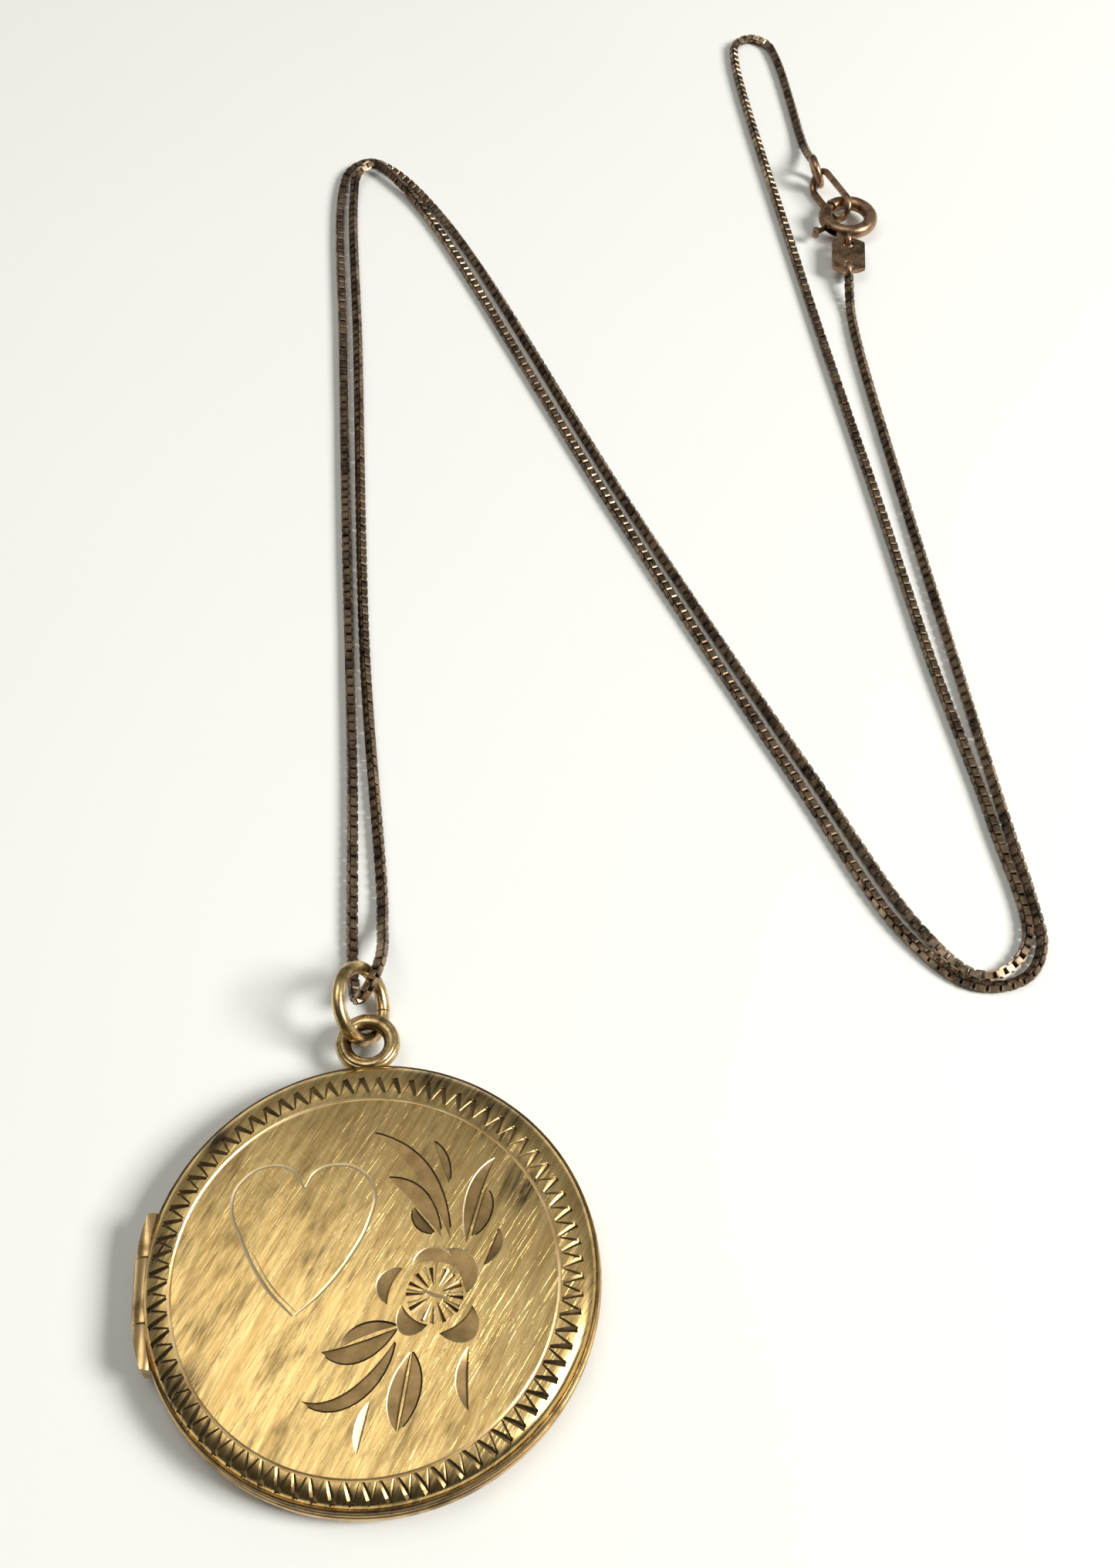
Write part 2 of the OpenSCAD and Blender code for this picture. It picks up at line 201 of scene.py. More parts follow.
def arc(centre: Point, across: float, up: float, start: float, end: float, steps: int) -> list[Point]:
    """Lays points along an arc of a section.

    Args:
        centre: the arc's centre.
        across: its half width.
        up: its half height.
        start: where it starts, in degrees from the outward side.
        end: where it ends.
        steps: the number of its stretches.

    Returns:
        The points, both ends among them.
    """
    turns = (math.radians(start + (end - start) * i / steps) for i in range(steps + 1))
    return [(centre[0] + across * math.cos(a), centre[1] + up * math.sin(a)) for a in turns]


def turned(profile: Sequence[Point], steps: int = 192) -> bmesh.types.BMesh:
    """Spins a closed profile about the locket's axis.

    Args:
        profile: radius and height of each corner, in millimetres.
        steps: the number of faces round the axis.

    Returns:
        The closed shape.
    """
    bm = bmesh.new()
    corners = [bm.verts.new((r * MM, 0, z * MM)) for r, z in profile]
    edges = [bm.edges.new((a, b)) for a, b in zip(corners, corners[1:] + corners[:1]) if a.co.x or b.co.x]
    bmesh.ops.spin(bm, geom=corners + edges, cent=(0, 0, 0), axis=(0, 0, 1), angle=math.tau,
                   steps=steps, use_merge=True)
    tidy(bm)
    return bm


def bar(bm: bmesh.types.BMesh, centre: Point3, axis: Point3, radius: float, length: float,
        segments: int = 48) -> None:
    """Adds a round bar to a shape.

    Args:
        bm: the shape.
        centre: the bar's centre, in millimetres.
        axis: its direction.
        radius: its radius, in millimetres.
        length: its length, in millimetres.
        segments: the number of its sides.
    """
    turn = Vector(axis).to_track_quat("Z", "Y").to_matrix().to_4x4()
    bmesh.ops.create_cone(bm, cap_ends=True, segments=segments, radius1=radius * MM, radius2=radius * MM,
                          depth=length * MM, matrix=Matrix.Translation(Vector(centre) * MM) @ turn)


def dresser(radius: float, material: bpy.types.Material) -> bpy.types.Object:
    """Makes a round block about the locket's axis, which trims a piece to a radius.

    Args:
        radius: its radius, in millimetres.
        material: the finish of the trimmed faces.

    Returns:
        The cutting object.
    """
    bm = bmesh.new()
    bar(bm, (0, 0, 2), (0, 0, 1), radius, 8, 256)
    return object_from("dresser", bm, [material])


# Finishes --------------------------------------------------------------------


@dataclass(frozen=True)
class BrushedGold:
    """Rolled gold on brass, brushed by hand with emery, so it shows slanted lines and dull brown patches."""

    name: str = "brushed_gold_fill"
    bright: str = "#e8cb8c"
    dull: str = "#b9975c"
    brown: str = "#75603c"
    dark_tone: str = "#40362a"
    # Emery lines: spacing and length in millimetres, and their direction over the face in degrees
    line_w: float = 0.085
    line_l: float = 3.6
    line_depth: float = 0.02
    line_turn: float = 58.0
    cross_turn: float = -48.0
    cloud: float = 3.4
    roughness: float = 0.3
    # Radius within which the emery was used
    emery_r: float = 12.6
    wave_depth: float = 0.06
    # Centres and radii of the tarnished places, in millimetres
    spots: tuple[tuple[Point3, float], ...] = (
        ((9.6, 4.4, 3.5), 2.6), ((8.6, 8.9, 3.2), 3.2), ((4.4, 12.2, 3.2), 2.4), ((-12.6, 2.2, 3.3), 2.2),
        ((-11.2, -6.6, 3.2), 2.6), ((-9.8, 9.4, 3.0), 1.8), ((7.2, 10.4, 3.2), 2.6))

    def lines(self, tree: bpy.types.NodeTree, place_of: bpy.types.NodeSocket, turn: float, width: float,
              length: float) -> bpy.types.NodeSocket:
        """Adds one set of emery lines.

        Args:
            tree: the node tree.
            place_of: the object coordinates.
            turn: the lines' direction over the face, in degrees.
            width: their spacing, in millimetres.
            length: their length, in millimetres.

        Returns:
            A value from 0 to 1.
        """
        laid = add_node(tree, "ShaderNodeMapping", {
            "Vector": place_of, "Rotation": (0, 0, math.radians(turn - 90)),
            "Scale": (width * MM, length * MM, length * MM)}, vector_type="TEXTURE")
        return add_node(tree, "ShaderNodeTexNoise", {
            "Vector": laid.outputs[0], "Scale": 1.0, "Detail": 3.0, "Roughness": 0.62}).outputs["Fac"]

    def tarnish(self, tree: bpy.types.NodeTree, place_of: bpy.types.NodeSocket) -> bpy.types.NodeSocket:
        """Adds the tarnished places.

        Args:
            tree: the node tree.
            place_of: the object coordinates.

        Returns:
            A value from 0, clean, to 1.
        """
        total = None
        for centre, radius in self.spots:
            away = add_node(tree, "ShaderNodeVectorMath", {
                0: place_of, 1: tuple(c * MM for c in centre)}, operation="DISTANCE")
            near = add_node(tree, "ShaderNodeMapRange", {
                "Value": away.outputs["Value"], "From Min": radius * MM, "From Max": 0.15 * radius * MM,
                "To Min": 0.0, "To Max": 1.0}, interpolation_type="SMOOTHSTEP").outputs[0]
            total = near if total is None else add_node(
                tree, "ShaderNodeMath", {0: total, 1: near}, operation="MAXIMUM").outputs[0]
        return total

    def build(self) -> bpy.types.Material:
        """Makes the material."""
        material, tree, shader = new_material(self.name)
        place_of = add_node(tree, "ShaderNodeTexCoord").outputs["Object"]
        # Lines of the emery, and clouds that follow them
        fine = self.lines(tree, place_of, self.line_turn, self.line_w, self.line_l)
        coarse = self.lines(tree, place_of, self.line_turn + 4, 3.2 * self.line_w, 2.4 * self.line_l)
        deep = self.lines(tree, place_of, self.line_turn - 3, 1.3 * self.line_w, 1.8 * self.line_l)
        cross = self.lines(tree, place_of, self.cross_turn, self.line_w, 0.6 * self.line_l)
        cloud = self.lines(tree, place_of, self.line_turn, 0.42 * self.cloud, 1.3 * self.cloud)
        blotch = self.lines(tree, place_of, self.line_turn, 0.1 * self.cloud, 0.55 * self.cloud)
        spots = self.tarnish(tree, place_of)
        up = add_node(tree, "ShaderNodeSeparateXYZ", {0: place_of}).outputs["Y"]
        crossed = add_node(tree, "ShaderNodeMapRange", {
            "Value": up, "From Min": 0.0, "From Max": 7 * MM, "To Min": 0.15, "To Max": 0.5}).outputs[0]
        # Bright metal, duller between the lines
        streak = add_node(tree, "ShaderNodeMix", {0: 0.45, 2: fine, 3: coarse}).outputs[0]
        worn = add_node(tree, "ShaderNodeMapRange", {
            "Value": streak, "From Min": 0.38, "From Max": 0.62}).outputs[0]
        metal = add_node(tree, "ShaderNodeMix", {
            0: worn, 6: linear(self.dull), 7: linear(self.bright)}, data_type="RGBA").outputs[2]
        # Brown film in patches
        smudge = add_node(tree, "ShaderNodeMix", {0: 0.4, 2: cloud, 3: blotch}).outputs[0]
        patch = add_node(tree, "ShaderNodeMapRange", {
            "Value": add_node(tree, "ShaderNodeMix", {0: 0.3, 2: smudge, 3: fine}).outputs[0],
            "From Min": 0.49, "From Max": 0.64, "To Max": 0.85}).outputs[0]
        browned = add_node(tree, "ShaderNodeMix", {
            0: patch, 6: metal, 7: linear(self.brown)}, data_type="RGBA").outputs[2]
        # Dark speckled tarnish at the spots
        speckle = add_node(tree, "ShaderNodeMapRange", {
            "Value": add_node(tree, "ShaderNodeMix", {0: 0.5, 2: streak, 3: blotch}).outputs[0],
            "From Min": 0.6, "From Max": 0.44}).outputs[0]
        dark = add_node(tree, "ShaderNodeMath", {0: spots, 1: speckle}, operation="MULTIPLY").outputs[0]
        colour = add_node(tree, "ShaderNodeMix", {
            0: dark, 6: browned, 7: linear(self.dark_tone)}, data_type="RGBA").outputs[2]
        # Rough where the emery went, smoother outside it, and dull under the film
        flat = add_node(tree, "ShaderNodeVectorMath", {0: place_of, 1: (1, 1, 0)}, operation="MULTIPLY").outputs[0]
        out = add_node(tree, "ShaderNodeVectorMath", {0: flat}, operation="LENGTH").outputs["Value"]
        emery = add_node(tree, "ShaderNodeMapRange", {
            "Value": out, "From Min": self.emery_r * MM, "From Max": (self.emery_r + 1) * MM, "To Min": 1.0,
            "To Max": 0.3}).outputs[0]
        dullness = add_node(tree, "ShaderNodeMath", {0: patch, 1: dark}, operation="MAXIMUM").outputs[0]
        even = add_node(tree, "ShaderNodeMapRange", {
            "Value": emery, "To Min": self.roughness - 0.16, "To Max": self.roughness}).outputs[0]
        rough = add_node(tree, "ShaderNodeMath", {0: dullness, 1: 0.2, 2: even}, operation="MULTIPLY_ADD").outputs[0]
        # Relief of the lines, a few deep scratches and the uneven sheet
        scratch = add_node(tree, "ShaderNodeMapRange", {
            "Value": deep, "From Min": 0.6, "From Max": 0.68, "To Max": -0.35}).outputs[0]
        lines = add_node(tree, "ShaderNodeMix", {0: crossed, 2: streak, 3: cross}).outputs[0]
        height = add_node(tree, "ShaderNodeMath", {0: lines, 1: scratch}, operation="ADD").outputs[0]
        scratched = add_node(tree, "ShaderNodeBump", {
            "Strength": emery, "Distance": self.line_depth * MM, "Height": height}).outputs[0]
        waved = add_node(tree, "ShaderNodeBump", {
            "Strength": emery, "Distance": self.wave_depth * MM, "Height": cloud, "Normal": scratched}).outputs[0]
        for name, value in (("Base Color", colour), ("Roughness", rough), ("Normal", waved)):
            tree.links.new(value, shader.inputs[name])
        shader.inputs["Metallic"].default_value = 1.0
        return material


@dataclass(frozen=True)
class CutGold:
    """Gold freshly cut with a graver and dulled since: an even satin floor, mottled between a light and a dark colour.
    The dark copy on the cuts' walls is painted shade towards the root, the pale copy on the lines a painted highlight.
    """

    name: str
    light: str
    dark: str
    roughness: float = 0.34
    mottle: float = 0.9
    # Grain of the graver's edge: spacing and depth in millimetres
    grain: float = 0.08
    grain_depth: float = 0.004

    def build(self) -> bpy.types.Material:
        """Makes the material."""
        material, tree, shader = new_material(self.name)
        place_of = add_node(tree, "ShaderNodeTexCoord").outputs["Object"]
        mottle = add_node(tree, "ShaderNodeTexNoise", {
            "Vector": place_of, "Scale": 1 / (self.mottle * MM), "Detail": 4.0, "Roughness": 0.6}).outputs["Fac"]
        share = add_node(tree, "ShaderNodeMapRange", {
            "Value": mottle, "From Min": 0.35, "From Max": 0.68}).outputs[0]
        colour = add_node(tree, "ShaderNodeMix", {
            0: share, 6: linear(self.light), 7: linear(self.dark)}, data_type="RGBA").outputs[2]
        grain = add_node(tree, "ShaderNodeTexNoise", {
            "Vector": place_of, "Scale": 1 / (self.grain * MM), "Detail": 2.0}).outputs["Fac"]
        bumped = add_node(tree, "ShaderNodeBump", {
            "Strength": 0.6, "Distance": self.grain_depth * MM, "Height": grain}).outputs[0]
        tree.links.new(colour, shader.inputs["Base Color"])
        tree.links.new(bumped, shader.inputs["Normal"])
        shader.inputs["Metallic"].default_value = 1.0
        shader.inputs["Roughness"].default_value = self.roughness
        return material


@dataclass(frozen=True)
class WornGold:
    """Rolled gold polished by handling: soft gloss, hairline scratches and brown film in patches."""

    name: str
    bright: str = "#e0c594"
    film: str = "#806a47"
    roughness: float = 0.22
    film_scale: float = 1.6
    film_from: float = 0.5
    scratch_w: float = 0.05
    scratch_depth: float = 0.004

    def build(self) -> bpy.types.Material:
        """Makes the material."""
        material, tree, shader = new_material(self.name)
        place_of = add_node(tree, "ShaderNodeTexCoord").outputs["Object"]
        film = add_node(tree, "ShaderNodeTexNoise", {
            "Vector": place_of, "Scale": 1 / (self.film_scale * MM), "Detail": 5.0, "Roughness": 0.65}).outputs["Fac"]
        share = add_node(tree, "ShaderNodeMapRange", {
            "Value": film, "From Min": self.film_from, "From Max": self.film_from + 0.2}).outputs[0]
        colour = add_node(tree, "ShaderNodeMix", {
            0: share, 6: linear(self.bright), 7: linear(self.film)}, data_type="RGBA").outputs[2]
        rough = add_node(tree, "ShaderNodeMapRange", {
            "Value": film, "From Min": 0.3, "From Max": 0.75, "To Min": self.roughness,
            "To Max": self.roughness + 0.16}).outputs[0]
        laid = add_node(tree, "ShaderNodeMapping", {
            "Vector": place_of, "Rotation": (0.4, 0.3, 0.9),
            "Scale": (self.scratch_w * MM, 22 * self.scratch_w * MM, 9 * self.scratch_w * MM)},
            vector_type="TEXTURE")
        hairline = add_node(tree, "ShaderNodeTexNoise", {
            "Vector": laid.outputs[0], "Scale": 1.0, "Detail": 2.0}).outputs["Fac"]
        bumped = add_node(tree, "ShaderNodeBump", {
            "Strength": 0.7, "Distance": self.scratch_depth * MM, "Height": hairline}).outputs[0]
        for name, value in (("Base Color", colour), ("Roughness", rough), ("Normal", bumped)):
            tree.links.new(value, shader.inputs[name])
        shader.inputs["Metallic"].default_value = 1.0
        return material


@dataclass(frozen=True)
class ClearSheet:
    """Clear acetate sheet, thin and faintly yellow, with handling haze."""

    name: str = "acetate_window"
    tint: str = "#fbf6e6"
    cover: float = 0.2
    haze: float = 2.5

    def build(self) -> bpy.types.Material:
        """Makes the material."""
        material, tree, shader = new_material(self.name)
        place_of = add_node(tree, "ShaderNodeTexCoord").outputs["Object"]
        haze = add_node(tree, "ShaderNodeTexNoise", {
            "Vector": place_of, "Scale": 1 / (self.haze * MM), "Detail": 6.0}).outputs["Fac"]
        rough = add_node(tree, "ShaderNodeMapRange", {
            "Value": haze, "From Min": 0.4, "From Max": 0.8, "To Min": 0.04, "To Max": 0.16}).outputs[0]
        tree.links.new(rough, shader.inputs["Roughness"])
        shader.inputs["Base Color"].default_value = linear(self.tint)
        shader.inputs["Alpha"].default_value = self.cover
        return material


@dataclass(frozen=True)
class CardPaper:
    """Uncoated picture card, aged to cream, with a fine fibre grain."""

    name: str = "cream_card"
    light: str = "#efe6d0"
    aged: str = "#dccdab"
    stain: float = 5.0
    fibre: float = 0.12

    def build(self) -> bpy.types.Material:
        """Makes the material."""
        material, tree, shader = new_material(self.name)
        place_of = add_node(tree, "ShaderNodeTexCoord").outputs["Object"]
        ageing = add_node(tree, "ShaderNodeTexNoise", {
            "Vector": place_of, "Scale": 1 / (self.stain * MM), "Detail": 6.0}).outputs["Fac"]
        fibre = add_node(tree, "ShaderNodeTexNoise", {
            "Vector": place_of, "Scale": 1 / (self.fibre * MM), "Detail": 3.0}).outputs["Fac"]
        colour = add_node(tree, "ShaderNodeMix", {
            0: ageing, 6: linear(self.light), 7: linear(self.aged)}, data_type="RGBA").outputs[2]
        bumped = add_node(tree, "ShaderNodeBump", {
            "Strength": 0.4, "Distance": 0.01 * MM, "Height": fibre}).outputs[0]
        tree.links.new(colour, shader.inputs["Base Color"])
        tree.links.new(bumped, shader.inputs["Normal"])
        shader.inputs["Roughness"].default_value = 0.85
        return material


@dataclass
class Finishes:
    """All the finishes, made once."""

    face: bpy.types.Material = field(default_factory=lambda: BrushedGold().build())
    cut_floor: bpy.types.Material = field(default_factory=lambda: CutGold(
        "graver_cut_floor", "#a1855a", "#826a45", 0.44).build())
    # Dark colours of the cuts' walls: painted shade at the deep side of each cut.
    cut_wall: bpy.types.Material = field(default_factory=lambda: CutGold(
        "graver_cut_wall_painted_shade", "#54452f", "#392e1f", 0.45).build())
    groove: bpy.types.Material = field(default_factory=lambda: CutGold(
        "graver_line", "#9c8259", "#5b4a31", 0.32, 1.8).build())
    # Pale colours of the scribed lines and outer leaf edges: a painted highlight.
    line: bpy.types.Material = field(default_factory=lambda: CutGold(
        "scribed_line_painted_highlight", "#f0dcb2", "#d3b684", 0.42, 2.2).build())
    polished: bpy.types.Material = field(default_factory=lambda: WornGold(
        "polished_gold_wire", "#dcc08c", "#7d6642", 0.2, 1.4, 0.45).build())
    rim: bpy.types.Material = field(default_factory=lambda: WornGold(
        "worn_gold_rim", "#d6b682", "#84693f", 0.24, 2.4, 0.48).build())
    # Dark colours of the cover's wall and lip over its bead: painted shade.
    seam: bpy.types.Material = field(default_factory=lambda: WornGold(
        "gold_rim_painted_shade", "#7d673f", "#4a3d28", 0.36, 1.2, 0.42).build())
    # Dark colours of the inside of the eye: painted shade.
    dark_tone: bpy.types.Material = field(default_factory=lambda: WornGold(
        "eye_inside_painted_shade", "#5a4a2f", "#2e2619", 0.4, 0.8, 0.4).build())
    inner: bpy.types.Material = field(default_factory=lambda: WornGold(
        "inner_gold_frame", "#d4b280", "#9a7d55", 0.3, 2.0, 0.52).build())
    clasp: bpy.types.Material = field(default_factory=lambda: WornGold(
        "rosy_gold_clasp", "#b59274", "#66513f", 0.28, 1.1, 0.42).build())
    tarnished: bpy.types.Material = field(default_factory=lambda: WornGold(
        "tarnished_box_chain", "#a38c73", "#584a3d", 0.3, 1.3, 0.4).build())
    steel: bpy.types.Material = field(default_factory=lambda: WornGold(
        "drawn_steel_wire", "#b9b4ab", "#77706a", 0.3).build())
    window: bpy.types.Material = field(default_factory=lambda: ClearSheet().build())
    card: bpy.types.Material = field(default_factory=lambda: CardPaper().build())


# Studio ----------------------------------------------------------------------


@dataclass(frozen=True)
class SoftLight:
    """A square soft light: its place, the point that it faces and its side in millimetres, its power in watts."""

    name: str
    at: Point3
    aim: Point3
    size: float
    power: float
    colour: str

    def build(self) -> None:
        """Hangs the light."""
        data = bpy.data.lights.new(self.name, "AREA")
        data.size, data.energy, data.color = self.size * MM, self.power, linear(self.colour)[:3]
        lamp = bpy.data.objects.new(self.name, data)
        lamp.location = Vector(self.at) * MM
        lamp.rotation_euler = (Vector(self.aim) - Vector(self.at)).to_track_quat("-Z", "Y").to_euler()
        bpy.context.scene.collection.objects.link(lamp)


@dataclass
class Studio:
    """Pale floor, soft light from the right and the camera."""

    camera_at: Point3 = (8.45, -39.98, 111.78)
    look_at: Point3 = (14.22, 37.2, 0.0)
    lens: float = 42.13
    sensor: float = 36.0
    floor_l: float = 1600.0
    floor_colours: tuple[str, str] = ("#f2f3f0", "#ebece8")
    floor_mottle: float = 90.0
    sky_colour: str = "#f6f6f2"
    # Brightness of the room behind the camera, which is dark, and ahead of it
    sky_strengths: tuple[float, float] = (0.06, 0.32)
    lights: tuple[SoftLight, ...] = (
        SoftLight("window_light", (510, -140, 430), (10, 30, 0), 250, 5.7, "#fffefb"),
        SoftLight("ceiling_light", (-110, 60, 470), (0, 10, 0), 320, 0.6, "#fffdf6"))

    def camera(self) -> None:
        """Makes the camera at the locket's foot, looking down along the chain."""
        data = bpy.data.cameras.new("camera")
        data.lens, data.sensor_width, data.sensor_fit = self.lens, self.sensor, "AUTO"
        data.clip_start, data.clip_end = 0.005, 10.0
        camera = bpy.data.objects.new("camera", data)
        camera.location = Vector(self.camera_at) * MM
        ahead = Vector(self.look_at) - Vector(self.camera_at)
        camera.rotation_euler = ahead.to_track_quat("-Z", "Y").to_euler()
        bpy.context.scene.collection.objects.link(camera)
        bpy.context.scene.camera = camera

    def floor(self) -> None:
        """Makes the plain pale floor."""
        bm = bmesh.new()
        bmesh.ops.create_grid(bm, x_segments=1, y_segments=1, size=self.floor_l * MM / 2)
        material, tree, shader = new_material("pale_floor")
        place_of = add_node(tree, "ShaderNodeTexCoord").outputs["Object"]
        tint = add_node(tree, "ShaderNodeTexNoise", {
            "Vector": place_of, "Scale": 1 / (self.floor_mottle * MM), "Detail": 2.0}).outputs["Fac"]
        one, other = (linear(c) for c in self.floor_colours)
        colour = add_node(tree, "ShaderNodeMix", {0: tint, 6: one, 7: other}, data_type="RGBA").outputs[2]
        tree.links.new(colour, shader.inputs["Base Color"])
        shader.inputs["Roughness"].default_value = 0.9
        shader.inputs["Specular IOR Level"].default_value = 0.1
        floor = object_from("floor", bm, [material])

    def build(self) -> None:
        """Makes the floor, the lights and the sky."""
        self.floor()
        for light in self.lights:
            light.build()
        world = bpy.data.worlds.new("soft_room")
        world.use_nodes = True
        tree = world.node_tree
        towards = add_node(tree, "ShaderNodeSeparateXYZ", {
            0: add_node(tree, "ShaderNodeTexCoord").outputs["Generated"]}).outputs["Y"]
        behind, ahead = self.sky_strengths
        strength = add_node(tree, "ShaderNodeMapRange", {
            "Value": towards, "From Min": -0.5, "From Max": 0.4, "To Min": behind, "To Max": ahead}).outputs[0]
        sky = tree.nodes["Background"]
        sky.inputs["Color"].default_value = linear(self.sky_colour)
        tree.links.new(strength, sky.inputs["Strength"])
        bpy.context.scene.world = world
        bpy.context.scene.view_settings.view_transform = "Standard"


# Chain -----------------------------------------------------------------------


@dataclass
class BoxChain:
    """Fine box chain: square links of folded strip, each turned a quarter from the last."""

    width: float = 0.72
    strip_t: float = 0.13
    strip_w: float = 0.44
    corner: float = 0.09
    pitch: float = 0.43
    # Spacing of the points that the smooth curve is first drawn with
    drawn_at: float = 0.1
    # Turn of the links about the chain, and its slow and quick twists: degrees and waves along the chain
    lean: float = 24.0
    slow_twist: Point = (24.0, 3.1)
    quick_twist: Point = (9.0, 11.0)
    route: tuple[Point3, ...] = (
        (44.6, 89.9, 1.3), (44.3, 86.5, 0.5), (44.2, 82, 0.36), (44.9, 63, 0.36), (45.7, 46.5, 0.36),
        (46.5, 31, 0.36), (46.9, 24.4, 0.36), (46.8, 20.8, 0.36), (45.5, 18.6, 0.36), (43.4, 17.8, 0.36),
        (40.9, 18.4, 0.36), (37.4, 22.5, 0.36), (31.7, 36.3, 0.36), (20.6, 64.9, 0.36), (7.6, 100.9, 0.36),
        (4.6, 106.8, 0.8), (2.1, 109.8, 1.15), (0.5, 108.6, 1), (0, 105.5, 0.6), (0.1, 85, 0.36),
        (0.2, 50, 0.36), (1.1, 28.3, 0.36), (1.1, 25.5, 0.9), (1.15, 23.3, 2), (1, 21.5, 3),
        (0.65, 20.4, 3.15), (0.2, 19.6, 2.9), (-0.4, 19.2, 2.3), (-0.75, 19.6, 1.5), (-0.95, 20.8, 0.75),
        (-1.05, 22.6, 0.36), (-0.9, 38, 0.36), (-1, 50, 0.36), (-1.2, 85, 0.36), (-1.1, 106.6, 0.36),
        (-0.2, 109.8, 0.36), (1.6, 110.9, 0.36), (3.8, 109.4, 0.36), (8.8, 100.9, 0.36), (21.9, 64.8, 0.36),
        (33, 36.2, 0.36), (38.5, 22.9, 0.36), (41.6, 18.9, 0.36), (43.7, 18.9, 0.36), (45.9, 21.3, 0.36),
        (45.5, 31.2, 0.36), (43.9, 46.6, 0.36), (42.7, 63.3, 0.36), (40.5, 93, 0.36), (38.8, 125.2, 0.36),
        (39.3, 127.4, 0.36), (40.9, 128.2, 0.36), (42.4, 127.1, 0.36), (43, 124.7, 0.36), (43.6, 110, 0.7),
        (43.7, 106.6, 1.7))

    def centreline(self, spacing: float) -> list[Vector]:
        """Lays a smooth curve through the route.

        Args:
            spacing: the distance between its points, in millimetres.

        Returns:
            Points along the curve, in metres, evenly spaced.
        """
        points = [Vector(p) * MM for p in self.route]
        ends = [2 * points[0] - points[1], *points, 2 * points[-1] - points[-2]]
        dense = []
        for a, b, c, d in zip(ends, ends[1:], ends[2:], ends[3:]):
            # Knots spaced by the root of the chord keep the curve from swinging wide at uneven points
            k1 = (b - a).length ** 0.5
            k2 = k1 + (c - b).length ** 0.5
            k3 = k2 + (d - c).length ** 0.5
            steps = max(2, round((c - b).length / (self.drawn_at * MM)))
            for step in range(steps):
                t = k1 + (k2 - k1) * step / steps
                ab = a.lerp(b, t / k1)
                bc = b.lerp(c, (t - k1) / (k2 - k1))
                cd = c.lerp(d, (t - k2) / (k3 - k2))
                dense.append(ab.lerp(bc, t / k2).lerp(bc.lerp(cd, (t - k1) / (k3 - k1)), (t - k1) / (k2 - k1)))
        dense.append(points[-1])
        even, run = [dense[0]], 0.0
        for a, b in zip(dense, dense[1:]):
            run += (b - a).length
            if run >= spacing * MM:
                even.append(b)
                run -= spacing * MM
        return even

    def link(self) -> bpy.types.Mesh:
        """Makes one square link in the XY plane, its strip standing along Z.

        Returns:
            The link's mesh.
        """
        bm = bmesh.new()
        bmesh.ops.create_grid(bm, x_segments=1, y_segments=1, size=self.width * MM / 2)
        bmesh.ops.bevel(bm, geom=bm.verts[:], offset=self.corner * MM, segments=1, profile=0.5,
                        affect="VERTICES", material=-1)
        hole = bm.faces[:]
        bmesh.ops.inset_region(bm, faces=hole, thickness=self.strip_t * MM, use_even_offset=True,
                               use_boundary=True)
        bmesh.ops.delete(bm, geom=hole, context="FACES")
        drawn = bmesh.ops.extrude_face_region(bm, geom=bm.faces[:])["geom"]
        bmesh.ops.translate(bm, vec=(0, 0, self.strip_w * MM),
                            verts=[v for v in drawn if isinstance(v, bmesh.types.BMVert)])
        bmesh.ops.translate(bm, vec=(0, 0, -self.strip_w * MM / 2), verts=bm.verts)
        tidy(bm)
        mesh = bpy.data.meshes.new("link")
        bm.to_mesh(mesh)
        bm.free()
        return mesh

    def roll(self, share: float) -> float:
        """Turn of the links about the chain, in degrees, at a share of its length.

        Args:
            share: from 0 at the clasp to 1 at the catch ring.

        Returns:
            The turn, which wanders as the limp chain twists.
        """
        slow, slow_waves = self.slow_twist
        quick, quick_waves = self.quick_twist
        return (self.lean + slow * math.sin(math.tau * slow_waves * share + 0.6)
                + quick * math.sin(math.tau * quick_waves * share))

    def rest_height(self, roll: float) -> float:
        """Height of the chain's middle over the floor, in metres, when its links are turned by roll degrees."""
        c, s = abs(math.cos(math.radians(roll))), abs(math.sin(math.radians(roll)))
        return ((self.width / 2 - self.corner) * (c + s) + self.corner * max(c, s)) * MM

    def build(self, finishes: Finishes, fittings: Sequence[bpy.types.Object]) -> None:
        """Threads the links on the route.

        Args:
            finishes: the finishes.
            fittings: the clasp's pieces and the link and ring that it catches; not used.
        """
        path = self.centreline(self.pitch)
        link = self.link()
        bm = bmesh.new()
        last = len(path) - 1
        for i, point in enumerate(path):
            point.z = max(point.z, self.rest_height(self.roll(i / last)))
        for i, point in enumerate(path):
            ahead = (path[min(i + 1, last)] - path[max(i - 1, 0)]).normalized()
            side = ahead.cross(Vector((0, 0, 1))).normalized()
            turn = Matrix((ahead, side, ahead.cross(side))).transposed().to_4x4()
            about = Matrix.Rotation(math.radians(self.roll(i / last) + 90 * (i % 2)), 4, "X")
            laid = Matrix.Translation(point) @ turn @ about
            link.transform(laid)
            bm.from_mesh(link)
            link.transform(laid.inverted())
        bpy.data.meshes.remove(link)
        bmesh.ops.recalc_face_normals(bm, faces=bm.faces)
        piece = object_from("box_chain", bm, [finishes.tarnished])
        place(piece, Body.BACK, "tarnished_gold", "chain")


# Locket ----------------------------------------------------------------------


